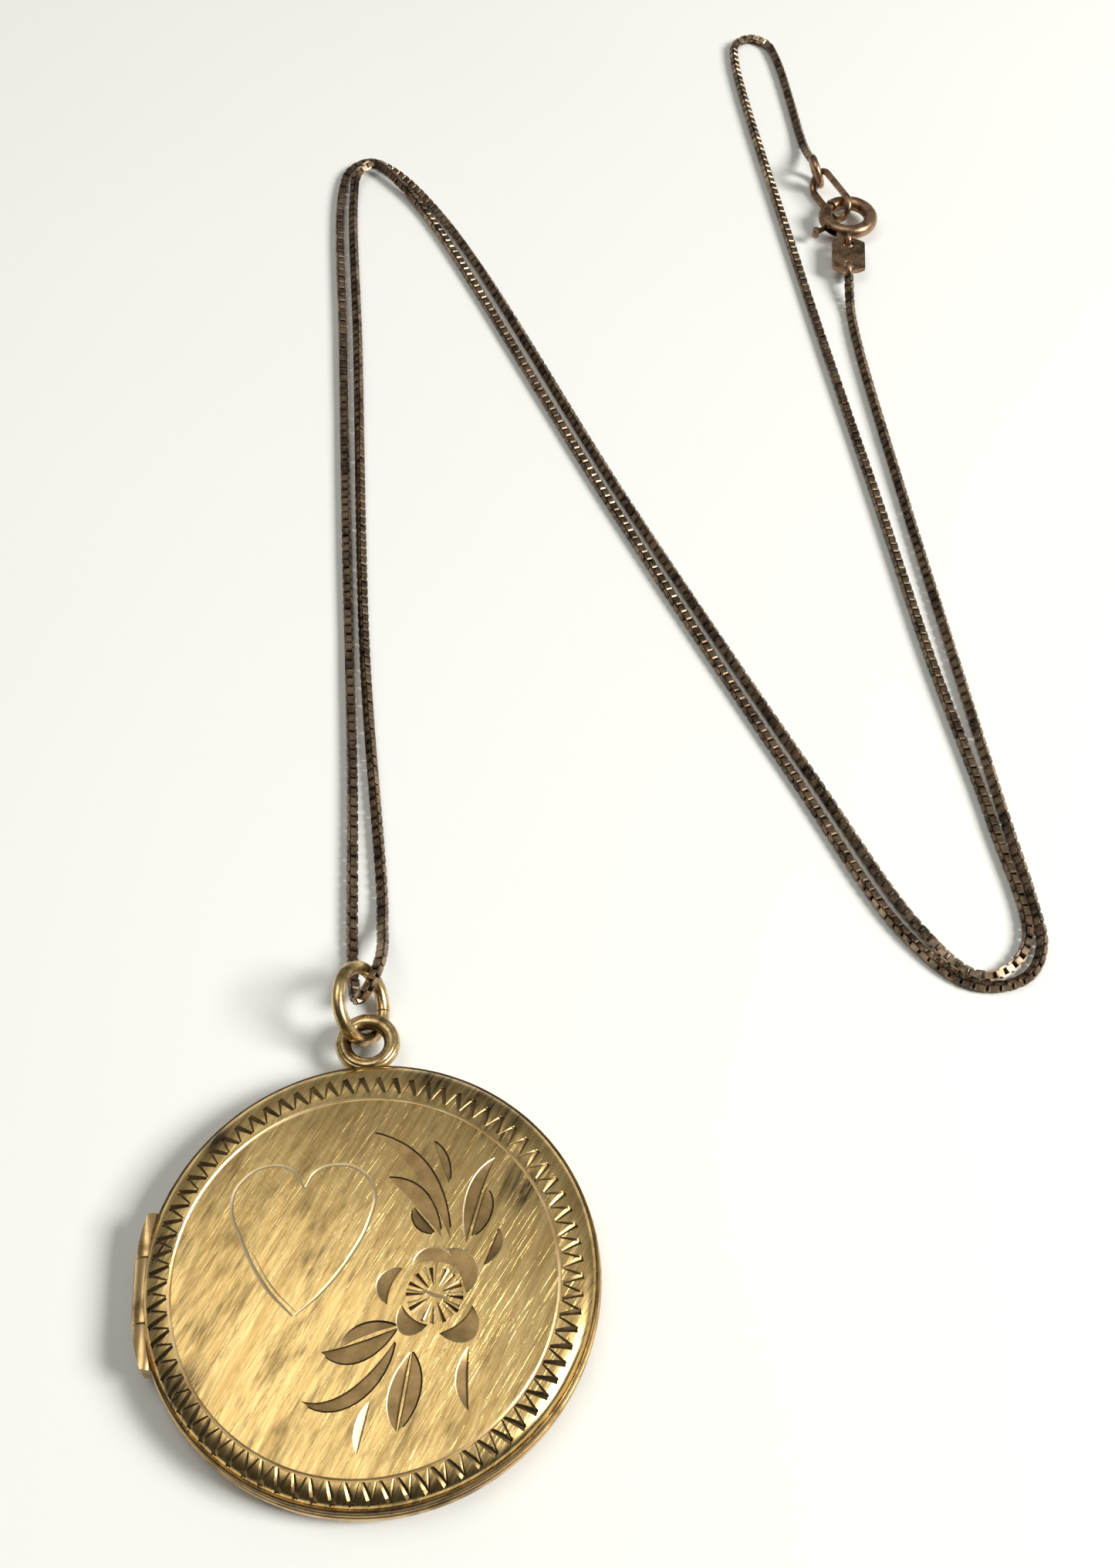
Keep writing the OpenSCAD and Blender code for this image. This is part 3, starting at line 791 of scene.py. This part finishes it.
@dataclass
class LocketSizes:
    """Radii and levels of the locket, in millimetres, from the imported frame."""

    cover_r: float = 14.0
    back_r: float = 14.1
    face_r: float = 11.8
    rest_r: float = 5.0
    lip_w: float = 0.2
    wall_t: float = 0.65
    sheet_t: float = 0.35
    rim_z: float = 2.6
    cover_z: float = 1.8
    part_z: float = 1.75
    back_rise: float = 0.75
    face_z: float = 3.45
    face_rise: float = 0.7

    @property
    def shoulder_w(self) -> float:
        """Radial width of the shoulder."""
        return self.cover_r - self.lip_w - self.face_r

    @property
    def shoulder_z(self) -> float:
        """Level of the shoulder's foot."""
        return self.rim_z - 0.05

    @property
    def wall_r(self) -> float:
        """Radius of both halves' inner wall."""
        return self.cover_r - self.wall_t

    def bowl(self, x: float, radius: float, rise: float) -> float:
        """Height at x of an arc that rises over a radius."""
        curve = (radius ** 2 + rise ** 2) / (2 * rise)
        return curve - math.sqrt(curve ** 2 - x ** 2)

    def face_at(self, x: float) -> float:
        """Height of the domed face at a radius."""
        return self.face_z + self.face_rise - self.bowl(x, self.face_r, self.face_rise)

    def surface(self, x: float, y: float) -> float:
        """Height of the cover's outer surface over a point.

        Args:
            x: the point's X, in millimetres.
            y: its Y.

        Returns:
            The height, in millimetres.
        """
        r = math.hypot(x, y)
        if r <= self.face_r:
            return self.face_at(r)
        across = min(1.0, (r - self.face_r) / self.shoulder_w)
        foot = self.shoulder_z
        return foot + (self.face_z - foot) * math.sqrt(max(0.0, 1 - across ** 2))

    def back_at(self, x: float) -> float:
        """Height of the back's outer surface at a radius."""
        depth = self.back_rise + 0.1
        return max(0.0, self.bowl(x, self.back_r, depth) - self.bowl(self.rest_r, self.back_r, depth))


@dataclass
class HingeSizes:
    """Hinge line and knuckles, in millimetres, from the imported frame."""

    x: float = -13.75
    z: float = 1.775
    radius: float = 0.85
    gap: float = 0.05
    middle_l: float = 4.1
    whole_l: float = 9.8
    out_r: float = 14.6

    def room(self, bm: bmesh.types.BMesh, y0: float, y1: float, clear: float) -> None:
        """Adds a bar on the hinge line, for cutting.

        Args:
            bm: the cutting shape.
            y0: its lower end.
            y1: its upper end.
            clear: what is added to the knuckles' radius.
        """
        bar(bm, (self.x, (y0 + y1) / 2, self.z), (0, 1, 0), self.radius + clear, y1 - y0, 96)


class Cut(Enum):
    """The kinds of surface that an engraving leaves, in the order of its cutter's materials."""

    FLOOR = 0
    WALL = 1
    GROOVE = 2
    # Pale line finish: a painted highlight.
    LINE = 3


@dataclass
class Engraving:
    """Cutter of the engraved pattern, laid out flat and then draped on the cover. Sizes are in millimetres."""

    sizes: LocketSizes
    finishes: Finishes
    ring_centre: Point = (-0.28, -0.6)
    ring_r: float = 11.8
    tooth_centre: Point = (-0.25, -0.35)
    tooth_in: float = 12.0
    tooth_out: float = 13.1
    tooth_longer: float = 0.1
    teeth: int = 76
    # Widths of a tooth's heavy and light legs at their start and end, and their depth over half their width
    heavy_w: Point = (0.46, 0.24)
    light_w: Point = (0.14, 0.26)
    tooth_steep: float = 0.55
    flower: Point = (3.9, -2.1)
    stamen_r: float = 1.78
    stamens: int = 26
    stamen_w: Point = (0.3, 0.08)
    stamen_steep: float = 0.8
    # What is left of a line's round section as its depth
    line_flat: float = 0.35
    # How far the cutter stands over the metal, and how far its leaves' outer walls lean out to there
    top: float = 0.3
    burr_lean: float = 0.75
    # A stroke's upper half is made taller by this, and the whole stroke is lifted
    clear: float = 1.5
    lift: float = 0.012
    ring_w: float = 0.26
    ring_depth: float = 0.09
    bm: bmesh.types.BMesh = field(default_factory=bmesh.new)

    def stroke(self, start: Point, end: Point, w0: float, w1: float, steep: float, cut: Cut) -> None:
        """Adds one straight graver stroke with a V section.

        Args:
            start: where it starts.
            end: where it ends.
            w0: its width at the start.
            w1: its width at the end.
            steep: its depth over its half width.
            cut: the surface that it leaves.
        """
        a, b = Vector((*start, 0)), Vector((*end, 0))
        turn = (b - a).to_track_quat("Z", "X").to_matrix().to_4x4()
        old = set(self.bm.faces)
        made = bmesh.ops.create_cone(
            self.bm, cap_ends=True, segments=4, radius1=w0 / 2 * MM, radius2=w1 / 2 * MM,
            depth=(b - a).length * MM, matrix=Matrix.Translation((a + b) / 2 * MM) @ turn)["verts"]
        for v in made:
            # The lower half is the groove; the upper one only has to clear the metal
            v.co.z = v.co.z * (steep if v.co.z < 0 else self.clear) + self.lift * MM
        long = [e for e in {e for v in made for e in v.link_edges} if e.calc_length() > (b - a).length * MM * 0.9]
        if (b - a).length > 0.6:
            bmesh.ops.subdivide_edges(self.bm, edges=long, cuts=4)
        for f in set(self.bm.faces) - old:
            f.material_index = cut.value

    def edge(self, start: Point, end: Point, bow: float, belly: float, full: float, steps: int) -> list[Vector]:
        """Lays one bowed edge of a leaf.

        Args:
            start: its first end.
            end: its other end.
            bow: how far it bows to the left of the way from start to end.
            belly: where along the way it bows most, from 0 to 1.
            full: 0.33 for a plain arc, less for a rounder one.
            steps: the number of its stretches.

        Returns:
            The edge's points.
        """
        a, b = Vector(start), Vector(end)
        along = b - a
        left = Vector((-along.y, along.x)).normalized() * bow * 4 / 3
        one = a + along * (2 * belly * full) + left
        two = b - along * (2 * (1 - belly) * full) + left
        return [a * (1 - t) ** 3 + one * 3 * t * (1 - t) ** 2 + two * 3 * t * t * (1 - t) + b * t ** 3
                for t in (i / steps for i in range(steps + 1))]

    def leaf(self, start: Point, end: Point, outer: float, inner: float, belly: float = 0.5, full: float = 0.33,
             depth: float = 0.17, rim: float = 0.03, floor_cut: Cut = Cut.FLOOR, edge_cut: Cut = Cut.LINE) -> None:
        """Adds one slanted cut: shallow along its outer edge and deep along its inner one.

        Args:
            start: its first point.
            end: its other point.
            outer: the bow of the outer edge, to the left of the way from start to end.
            inner: the bow of the inner edge.
            belly: where it is widest, from 0 to 1.
            full: 0.33 for a plain arc, less for a rounder one.
            depth: its depth along the inner edge.
            rim: its depth along the outer edge.
            floor_cut: the look of its floor.
            edge_cut: the look of its outer edge, by default the pale line finish, a painted highlight.
        """
        bm, steps = self.bm, 14
        old = set(bm.faces)
        shallow = self.edge(start, end, outer, belly, full, steps)
        deep = self.edge(start, end, inner, belly, 0.33, steps)
        rows = []
        for i, (s, d) in enumerate(zip(shallow, deep)):
            ease = math.sin(math.pi * i / steps) ** 0.5
            low = bm.verts.new((s.x * MM, s.y * MM, -rim * MM))
            rows.append((low, low if i in (0, steps)
                         else bm.verts.new((d.x * MM, d.y * MM, -(rim + (depth - rim) * ease) * MM))))
        floor = [bm.faces.new(list(dict.fromkeys((s0, s1, d1, d0)))) for (s0, d0), (s1, d1) in zip(rows, rows[1:])]
        outer_edge = {(round(s.x, 4), round(s.y, 4)): (s - d).normalized() if (s - d).length > 1e-6 else Vector((0, 0))
                      for s, d in zip(shallow, deep)}
        lifted = bmesh.ops.extrude_face_region(bm, geom=floor, use_keep_orig=True)["geom"]
        burr = set()
        for v in lifted:
            if isinstance(v, bmesh.types.BMVert):
                lean = outer_edge.get((round(v.co.x / MM, 4), round(v.co.y / MM, 4)))
                if lean is not None:
                    v.co.xy += lean * self.burr_lean * MM
                    burr.add(v)
                v.co.z = self.top * MM
        for f in set(bm.faces) - old:
            outer_wall = sum(v in burr for v in f.verts) == 2 and any(v.co.z < 0 for v in f.verts)
            f.material_index = (floor_cut if f in floor else edge_cut if outer_wall else Cut.WALL).value

    def leaves(self) -> None:
        """Adds the leaves and petals."""
        # These take the dark wall finish along their outer edge too: painted shade there in place of the painted
        # highlight.
        dark = {"rim": 0.055, "edge_cut": Cut.WALL}
        # Spray over the flower
        self.leaf((0.45, 8.7), (5.0, 1.2), 1.55, 0.62, 0.42, **dark)
        self.leaf((4.2, 7.85), (5.05, 4.9), 0.45, -0.04, 0.4, **dark)
        self.leaf((1.3, 5.55), (4.45, 1.4), 1.1, 0.1, 0.38, **dark)
        self.leaf((2.85, 3.45), (4.1, 1.75), -0.62, 0.02, 0.5, 0.2, **dark)
        self.leaf((8.0, 6.5), (5.95, 0.95), -0.95, -0.1, 0.38, 0.3)
        self.leaf((7.35, 4.55), (6.25, 1.35), 0.72, -0.05, 0.4, 0.25, **dark)
        self.leaf((6.9, -0.45), (7.95, 1.85), -0.62, -0.02, 0.7, 0.26)
        # Petals round the flower's middle
        self.leaf((2.6, -0.3), (5.2, -0.5), 1.2, 0.36, 0.42, 0.12)
        self.leaf((4.75, 0.65), (5.8, -2.15), 1.25, 0.12, 0.42, 0.12)
        self.leaf((2.05, -0.4), (1.05, -2.55), -1.1, -0.2, 0.55, 0.14)
        self.leaf((1.9, -2.6), (3.45, -3.9), -1.3, -0.25, 0.6, 0.12)
        self.leaf((6.1, -2.9), (4.05, -4.45), 1.5, 0.3, 0.4, 0.14)
        # Leaves below it
        self.leaf((1.6, -3.85), (-1.75, -4.9), -0.8, -0.12, 0.62, 0.26, **dark)
        self.leaf((1.6, -3.98), (-2.9, -5.05), 1.2, 0.12, 0.68, 0.28, **dark)
        self.leaf((1.45, -4.75), (-4.1, -7.75), 1.8, 1.0, 0.72, 0.22, **dark)
        self.leaf((2.45, -5.4), (1.45, -9.9), 0.85, 0.06, 0.4, 0.3, **dark)
        self.leaf((2.38, -5.45), (1.38, -9.9), -0.85, -0.02, 0.66, 0.3)
        self.leaf((5.8, -5.35), (5.6, -9.0), -0.75, -0.04, 0.58, 0.3)
        # This leaf's floor takes the pale line finish, a painted highlight.
        self.leaf((-0.05, -8.05), (-0.9, -10.95), -0.48, 0.04, 0.55, 0.26, floor_cut=Cut.LINE)

    def on_circle(self, centre: Point, radius: float, degrees: float) -> Point:
        """A point on a circle over the cover."""
        a = math.radians(degrees)
        return centre[0] + radius * math.cos(a), centre[1] + radius * math.sin(a)

    def border(self) -> None:
        """Adds the zigzag border, each tooth a heavy leg and a light one."""
        pitch = 360 / self.teeth
        for i in range(self.teeth):
            at = 90 - i * pitch
            longer = self.tooth_longer * (1 - math.sin(math.radians(at)))
            peak = self.on_circle(self.tooth_centre, self.tooth_out + longer, at + 0.08 * pitch)
            heavy = self.on_circle(self.tooth_centre, self.tooth_in, at - 0.42 * pitch)
            light = self.on_circle(self.tooth_centre, self.tooth_in, at + 0.46 * pitch)
            self.stroke(peak, heavy, *self.heavy_w, self.tooth_steep, Cut.GROOVE)
            self.stroke(light, peak, *self.light_w, self.tooth_steep, Cut.GROOVE)

    def ring(self) -> None:
        """Adds the scribed ring."""
        bm = self.bm
        centre = Vector((*self.ring_centre, 0)) * MM
        old = set(bm.faces)
        half = self.ring_w / 2
        section = [bm.verts.new(centre + Vector((self.ring_r + dx, 0, dz)) * MM)
                   for dx, dz in ((-half, 0.01), (0, -self.ring_depth), (half, 0.01), (0, 0.1))]
        edges = [bm.edges.new((a, b)) for a, b in zip(section, section[1:] + section[:1])]
        bmesh.ops.spin(bm, geom=section + edges, cent=centre, axis=(0, 0, 1), angle=math.tau, steps=144,
                       use_merge=True)
        # The ring takes the pale line finish, a painted highlight.
        for f in set(bm.faces) - old:
            f.material_index = Cut.LINE.value

    def middle(self) -> None:
        """Adds the short cuts in the flower's middle."""
        for i in range(self.stamens):
            # Cut by hand, so neither their turns nor their ends are quite even
            at = 360 * i / self.stamens + 4 * math.sin(2.3 * i)
            inner = 0.62 + 0.12 * math.sin(4.1 * i)
            outer = self.stamen_r - 0.14 * (1 + math.sin(2.9 * i)) / 2
            # Every other cut takes the pale line finish, a painted highlight.
            self.stroke(self.on_circle(self.flower, outer, at), self.on_circle(self.flower, inner, at),
                        *self.stamen_w, self.stamen_steep, Cut.GROOVE if i % 2 else Cut.LINE)

    def heart(self) -> None:
        """Adds the heart's outline, a second line by its tip and the flower's slash."""
        left = ((-3.9, 5.2), (-4.7, 6.55), (-6.1, 6.95), (-7.6, 6.3), (-8.4, 4.8), (-7.7, 2.1), (-6.2, -0.9),
                (-4.6, -2.8))
        right = ((-3.86, 5.3), (-3.2, 6.3), (-1.8, 6.65), (-0.4, 6.15), (0.42, 4.8), (0.1, 2.9), (-1.0, 0.8),
                 (-2.9, -1.5), (-4.45, -2.76))
        second = ((-7.1, 1.4), (-5.8, -0.95), (-4.4, -2.55))
        slash = ((3.2, -1.8), (3.9, -2.15), (4.7, -2.4))
        curve = bpy.data.curves.new("heart", "CURVE")
        curve.dimensions, curve.twist_mode = "3D", "Z_UP"
        curve.bevel_depth, curve.bevel_resolution, curve.use_fill_caps = MM, 0, True
        curve.resolution_u = 6
        for points, width in ((left, 0.3), (right, 0.32), (second, 0.16), (slash, 0.34)):
            spline = curve.splines.new("BEZIER")
            spline.bezier_points.add(len(points) - 1)
            for i, (point, (x, y)) in enumerate(zip(spline.bezier_points, points)):
                point.co = (x * MM, y * MM, 0.01 * MM)
                point.handle_left_type = point.handle_right_type = "AUTO"
                point.radius = width / 2 * (0.6 if i in (0, len(points) - 1) else 1)
        drawn = bpy.data.objects.new("heart", curve)
        bpy.context.scene.collection.objects.link(drawn)
        depsgraph = bpy.context.evaluated_depsgraph_get()
        old = set(self.bm.faces)
        self.bm.from_mesh(drawn.evaluated_get(depsgraph).to_mesh())
        bpy.data.objects.remove(drawn)
        made = set(self.bm.faces) - old
        for v in {v for f in made for v in f.verts}:
            v.co.z *= self.line_flat if v.co.z < 0 else self.clear
        # The lines take the pale line finish, a painted highlight.
        for f in made:
            f.material_index = Cut.LINE.value

    def cutter(self) -> bpy.types.Object:
        """Makes the whole pattern's cutter."""
        self.leaves()
        self.border()
        self.ring()
        self.middle()
        self.heart()
        tidy(self.bm)
        for v in self.bm.verts:
            v.co.z += self.sizes.surface(v.co.x / MM, v.co.y / MM) * MM
        f = self.finishes
        return object_from("pattern", self.bm, [f.cut_floor, f.cut_wall, f.groove, f.line])


@dataclass
class FrontCover:
    """The engraved front cover."""

    sizes: LocketSizes
    hinge: HingeSizes
    finishes: Finishes
    lip_r: float = 0.15
    inner_inset: float = 0.1
    # Width of the rim, and the level over the edge where its painted shade begins
    rim_w: float = 0.17
    painted_shade_z: float = 0.24
    # Rolled bead at its edge: out from the cover's radius and up from its edge
    bead: tuple[Point, ...] = ((-0.03, 0.5), (-0.03, 0.26), (0.03, 0.2), (0.05, 0.12), (0.02, 0.03), (-0.03, 0.0))

    def profile(self) -> list[Point]:
        """Outline of the cover's section, from the middle of the face outwards and back inside."""
        s, lip_r, inset = self.sizes, self.lip_r, self.inner_inset
        face = [(s.face_r * i / 16, s.face_at(s.face_r * i / 16)) for i in range(17)]
        shoulder = arc((s.face_r, s.shoulder_z), s.shoulder_w, s.face_z - s.shoulder_z, 90, 0, 18)[1:]
        lip = arc((s.cover_r - lip_r, s.rim_z - lip_r), lip_r, lip_r, 90, 0, 10)
        bead = [(s.cover_r + out, s.cover_z + up) for out, up in self.bead]
        inner_r, inner_z = s.face_r - inset, s.rim_z - inset
        rise = s.face_at(inner_r) - s.sheet_t - inner_z
        inside = arc((inner_r, inner_z), s.wall_r - inner_r, rise, 0, 90, 10)[:-1]
        under = [(inner_r * (8 - i) / 8, s.face_at(inner_r * (8 - i) / 8) - s.sheet_t) for i in range(9)]
        return face + shoulder + lip + bead + [(s.wall_r, s.cover_z)] + inside + under

    def build(self) -> None:
        """Turns, notches and engraves the cover."""
        bm = turned(self.profile())
        for f in bm.faces:
            middle = f.calc_center_median() / MM
            # The bead keeps the worn rim finish; the cover's wall and lip over it get dark colours, a painted shade.
            if middle.xy.length > self.sizes.cover_r - self.rim_w:
                f.material_index = 1 if middle.z < self.sizes.cover_z + self.painted_shade_z else 2
        f = self.finishes
        piece = object_from("engraved_cover", bm, [f.face, f.rim, f.seam])
        room = bmesh.new()
        half, gap = self.hinge.middle_l / 2, self.hinge.gap
        self.hinge.room(room, -half - gap, half + gap, gap)
        self.hinge.room(room, half + gap / 2, self.hinge.whole_l / 2, 0)
        self.hinge.room(room, -self.hinge.whole_l / 2, -half - gap / 2, 0)
        carve(piece, object_from("notch", room, [self.finishes.rim]), overlapping=True)
        carve(piece, Engraving(self.sizes, self.finishes).cutter(), overlapping=True)
        smooth(piece, 10)
        place(piece, Body.COVER, "gold", "front_cover")


@dataclass
class BackHalf:
    """The plain domed back."""

    sizes: LocketSizes
    hinge: HingeSizes
    finishes: Finishes
    edge_r: float = 0.4
    # Rolled bead at its edge: out from the back's radius and up from the parting plane
    bead: tuple[Point, ...] = ((-0.04, -0.3), (0.01, -0.24), (0.03, -0.14), (0.01, -0.04), (-0.03, 0.0))

    def profile(self) -> list[Point]:
        """Outline of the back's section, from the middle of the flat outwards and back inside."""
        s = self.sizes
        turn_r = s.back_r - self.edge_r
        under = [(s.rest_r + (turn_r - s.rest_r) * i / 14, s.back_at(s.rest_r + (turn_r - s.rest_r) * i / 14))
                 for i in range(15)]
        edge = arc((turn_r, s.back_at(turn_r) + self.edge_r), self.edge_r, self.edge_r, -90, 0, 8)[1:]
        bead = [(s.back_r + out, s.part_z + up) for out, up in self.bead]
        inside = [(s.wall_r * (10 - i) / 10, s.back_at(s.wall_r * (10 - i) / 10) + s.sheet_t) for i in range(11)]
        return [(0, 0)] + under + edge + bead + [(s.wall_r, s.part_z)] + inside

    def build(self) -> None:
        """Turns and notches the back."""
        piece = object_from("domed_back", turned(self.profile()), [self.finishes.rim])
        room = bmesh.new()
        half, gap, end = self.hinge.middle_l / 2, self.hinge.gap, self.hinge.whole_l / 2
        self.hinge.room(room, -half - gap / 2, half + gap / 2, 0)
        self.hinge.room(room, half, end + gap, gap)
        self.hinge.room(room, -end - gap, -half, gap)
        carve(piece, object_from("notch", room, [self.finishes.rim]), overlapping=True)
        smooth(piece, 24)
        place(piece, Body.BACK, "gold", "back_shell")


@dataclass
class Knuckles:
    """The three hinge knuckles."""

    hinge: HingeSizes
    finishes: Finishes
    end_round: float = 0.07

    def knuckle(self, name: str, y0: float, y1: float, body: Body, node: str) -> None:
        """Makes one knuckle, its ends rounded over and its outer side dressed to the rim.

        Args:
            name: the piece's name.
            y0: its lower end.
            y1: its upper end.
            body: the body that it moves with.
            node: the CAD node that it stands for.
        """
        h = self.hinge
        bm = bmesh.new()
        h.room(bm, y0, y1, 0)
        ends = [e for e in bm.edges if len({round(v.co.y / MM, 3) for v in e.verts}) == 1]
        bmesh.ops.bevel(bm, geom=ends, offset=self.end_round * MM, segments=3, profile=0.5, affect="EDGES", material=-1)
        piece = object_from(name, bm, [self.finishes.rim])
        carve(piece, dresser(h.out_r, self.finishes.rim), "INTERSECT")
        smooth(piece, 30)
        place(piece, body, "gold", node)

    def build(self) -> None:
        """Makes the three knuckles."""
        h = self.hinge
        half, end = h.middle_l / 2, h.whole_l / 2
        self.knuckle("knuckle_of_back", -half, half, Body.BACK, "hinge_knuckle_middle")
        self.knuckle("upper_knuckle_of_cover", half + h.gap / 2, end, Body.COVER, "hinge_knuckle_upper")
        self.knuckle("lower_knuckle_of_cover", -end, -half - h.gap / 2, Body.COVER, "hinge_knuckle_lower")


@dataclass
class Rings:
    """The eye on the back's rim and the jump ring through it."""

    sizes: LocketSizes
    finishes: Finishes
    eye_at: Point3 = (0, 16.0, 1.75)
    eye_r: float = 1.62
    eye_wire: float = 0.53
    jump_r: float = 2.45
    jump_wire: float = 0.45
    jump_cut: float = 0.06
    jump_cut_at: float = 15.0
    cut_chamfer: float = 0.02
    sides: int = 32
    steps: int = 128

    def wire_ring(self, radius: float, wire: float, open_w: float, groove: bool) -> bmesh.types.BMesh:
        """Bends a round wire into a ring about Z.

        Args:
            radius: the ring's mean radius.
            wire: the wire's radius.
            open_w: the width of the cut in it, centred on X, or 0.
            groove: True for a fine line along its upper outer side.

        Returns:
            The ring.
        """
        bm = bmesh.new()
        section = bmesh.ops.create_circle(
            bm, segments=self.sides, radius=wire * MM,
            matrix=Matrix.Translation((radius * MM, 0, 0)) @ Matrix.Rotation(math.pi / 2, 4, "X"))["verts"]
        if groove:
            line = max(section, key=lambda v: v.co.x * 0.55 + v.co.z)
            line.co = line.co.lerp(Vector((radius * MM, 0, 0)), 0.1)
        gap = math.degrees(open_w / radius)
        if open_w:
            for v in section:
                v.co.rotate(Matrix.Rotation(math.radians(gap / 2), 3, "Z"))
            caps = [bm.faces.new(section)]
        edges = [e for e in bm.edges if all(v in section for v in e.verts)]
        bmesh.ops.spin(bm, geom=section + edges, cent=(0, 0, 0), axis=(0, 0, 1),
                       angle=math.tau - math.radians(gap), steps=self.steps, use_merge=not open_w)
        if open_w:
            loose = [e for e in bm.edges if len(e.link_faces) == 1]
            caps += bmesh.ops.edgeloop_fill(bm, edges=loose)["faces"]
            rims = [e for f in caps for e in f.edges]
            bmesh.ops.bevel(bm, geom=rims, offset=self.cut_chamfer * MM, segments=1, profile=0.5, affect="EDGES",
                            material=-1)
        tidy(bm)
        return bm

    def build(self) -> None:
        """Makes the eye and the jump ring."""
        bm = self.wire_ring(self.eye_r, self.eye_wire, 0, True)
        # The inner side of the eye gets dark colours: painted shade inside the loop.
        for f in bm.faces:
            if f.calc_center_median().xy.length < (self.eye_r - 0.72 * self.eye_wire) * MM:
                f.material_index = 1
        bmesh.ops.translate(bm, vec=Vector(self.eye_at) * MM, verts=bm.verts)
        eye = object_from("soldered_eye", bm, [self.finishes.polished, self.finishes.dark_tone])
        carve(eye, dresser(self.sizes.back_r, self.finishes.polished))
        smooth(eye, 40)
        place(eye, Body.BACK, "gold", "eye")
        joint = next(j for j in frame["joints"] if j["name"] == "jump_ring_turn")
        bm = self.wire_ring(self.jump_r, self.jump_wire, self.jump_cut, False)
        axis = Vector(joint["axis"])
        # The cut is measured from the ring's lowest point
        low = (Vector((0, 0, -1)) + axis * axis.z).normalized()
        basis = Matrix((low, axis.cross(low), axis)).transposed().to_4x4()
        bmesh.ops.transform(bm, matrix=Matrix.Translation(joint["pos_m"]) @ basis
                            @ Matrix.Rotation(math.radians(self.jump_cut_at), 4, "Z"), verts=bm.verts)
        ring = object_from("jump_ring_wire", bm, [self.finishes.polished])
        smooth(ring, 40)
        place(ring, Body.JUMP_RING, "gold", "jump_ring")


@dataclass
class Refined:
    """CAD nodes whose shape is right: merged, softened at their edges, shaded smooth and given their finish."""

    finishes: Finishes
    sharp: float = 50.0

    def refine(self, node: str, material: bpy.types.Material, body: Body, slot: str,
               bevel: float = 0.0) -> bpy.types.Object:
        """Makes a finished piece from a CAD node's own shape.

        Args:
            node: the CAD node.
            material: its finish.
            body: the body that it moves with.
            slot: the record's material slot.
            bevel: how much its edges are broken, in millimetres.

        Returns:
            The piece.
        """
        bm = bmesh.new()
        bm.from_mesh(frame["nodes"][node].data)
        bmesh.ops.remove_doubles(bm, verts=bm.verts, dist=0.0002 * MM)
        if bevel:
            sharp = [e for e in bm.edges if e.is_manifold and e.calc_face_angle(0) > math.radians(self.sharp)]
            bmesh.ops.bevel(bm, geom=sharp, offset=bevel * MM, segments=2, profile=0.5, affect="EDGES",
                            material=-1, clamp_overlap=True)
        piece = object_from(node + "_piece", bm, [material])
        smooth(piece, 35)
        place(piece, body, slot, node)
        return piece

    def inside(self) -> None:
        """Makes the frames, bezels, windows, cards and pin."""
        f = self.finishes
        for node, body in (("back_frame", Body.BACK), ("front_frame", Body.COVER)):
            self.refine(node, f.inner, body, "worn_gold")
        for node, body in (("back_bezel", Body.BACK), ("front_bezel", Body.COVER)):
            self.refine(node, f.polished, body, "gold", 0.06)
        for node, body in (("back_window", Body.BACK), ("front_window", Body.COVER)):
            self.refine(node, f.window, body, "window", 0.02)
        for node, body in (("back_card", Body.BACK), ("front_card", Body.COVER)):
            self.refine(node, f.card, body, "paper")
        self.refine("hinge_pin", f.steel, Body.BACK, "steel_pin")

    def fittings(self) -> list[bpy.types.Object]:
        """Makes the clasp and what it catches.

        Returns:
            The pieces.
        """
        f = self.finishes
        fixed = [self.refine(node, f.clasp, Body.BACK, "worn_gold", 0.05 if node == "clasp_tag" else 0.0)
                 for node in ("clasp_tube", "clasp_eye", "clasp_tag", "tag_ring", "catch_link", "catch_ring")]
        moving = [self.refine(node, f.clasp, Body.BOLT, "gold") for node in ("clasp_bolt", "clasp_trigger")]
        return [*fixed, *moving, self.refine("clasp_spring", f.steel, Body.BACK, "steel_pin")]


def main() -> None:
    """Builds the scene and the locket's pieces in order."""
    logging.basicConfig(level=logging.INFO, format="%(name)s: %(message)s")
    studio = Studio()
    studio.camera()
    finishes = Finishes()
    refined = Refined(finishes)
    BoxChain().build(finishes, refined.fittings())
    studio.build()
    sizes, hinge = LocketSizes(), HingeSizes()
    FrontCover(sizes, hinge, finishes).build()
    BackHalf(sizes, hinge, finishes).build()
    Knuckles(hinge, finishes).build()
    Rings(sizes, finishes).build()
    refined.inside()


if __name__ == "__main__":
    main()
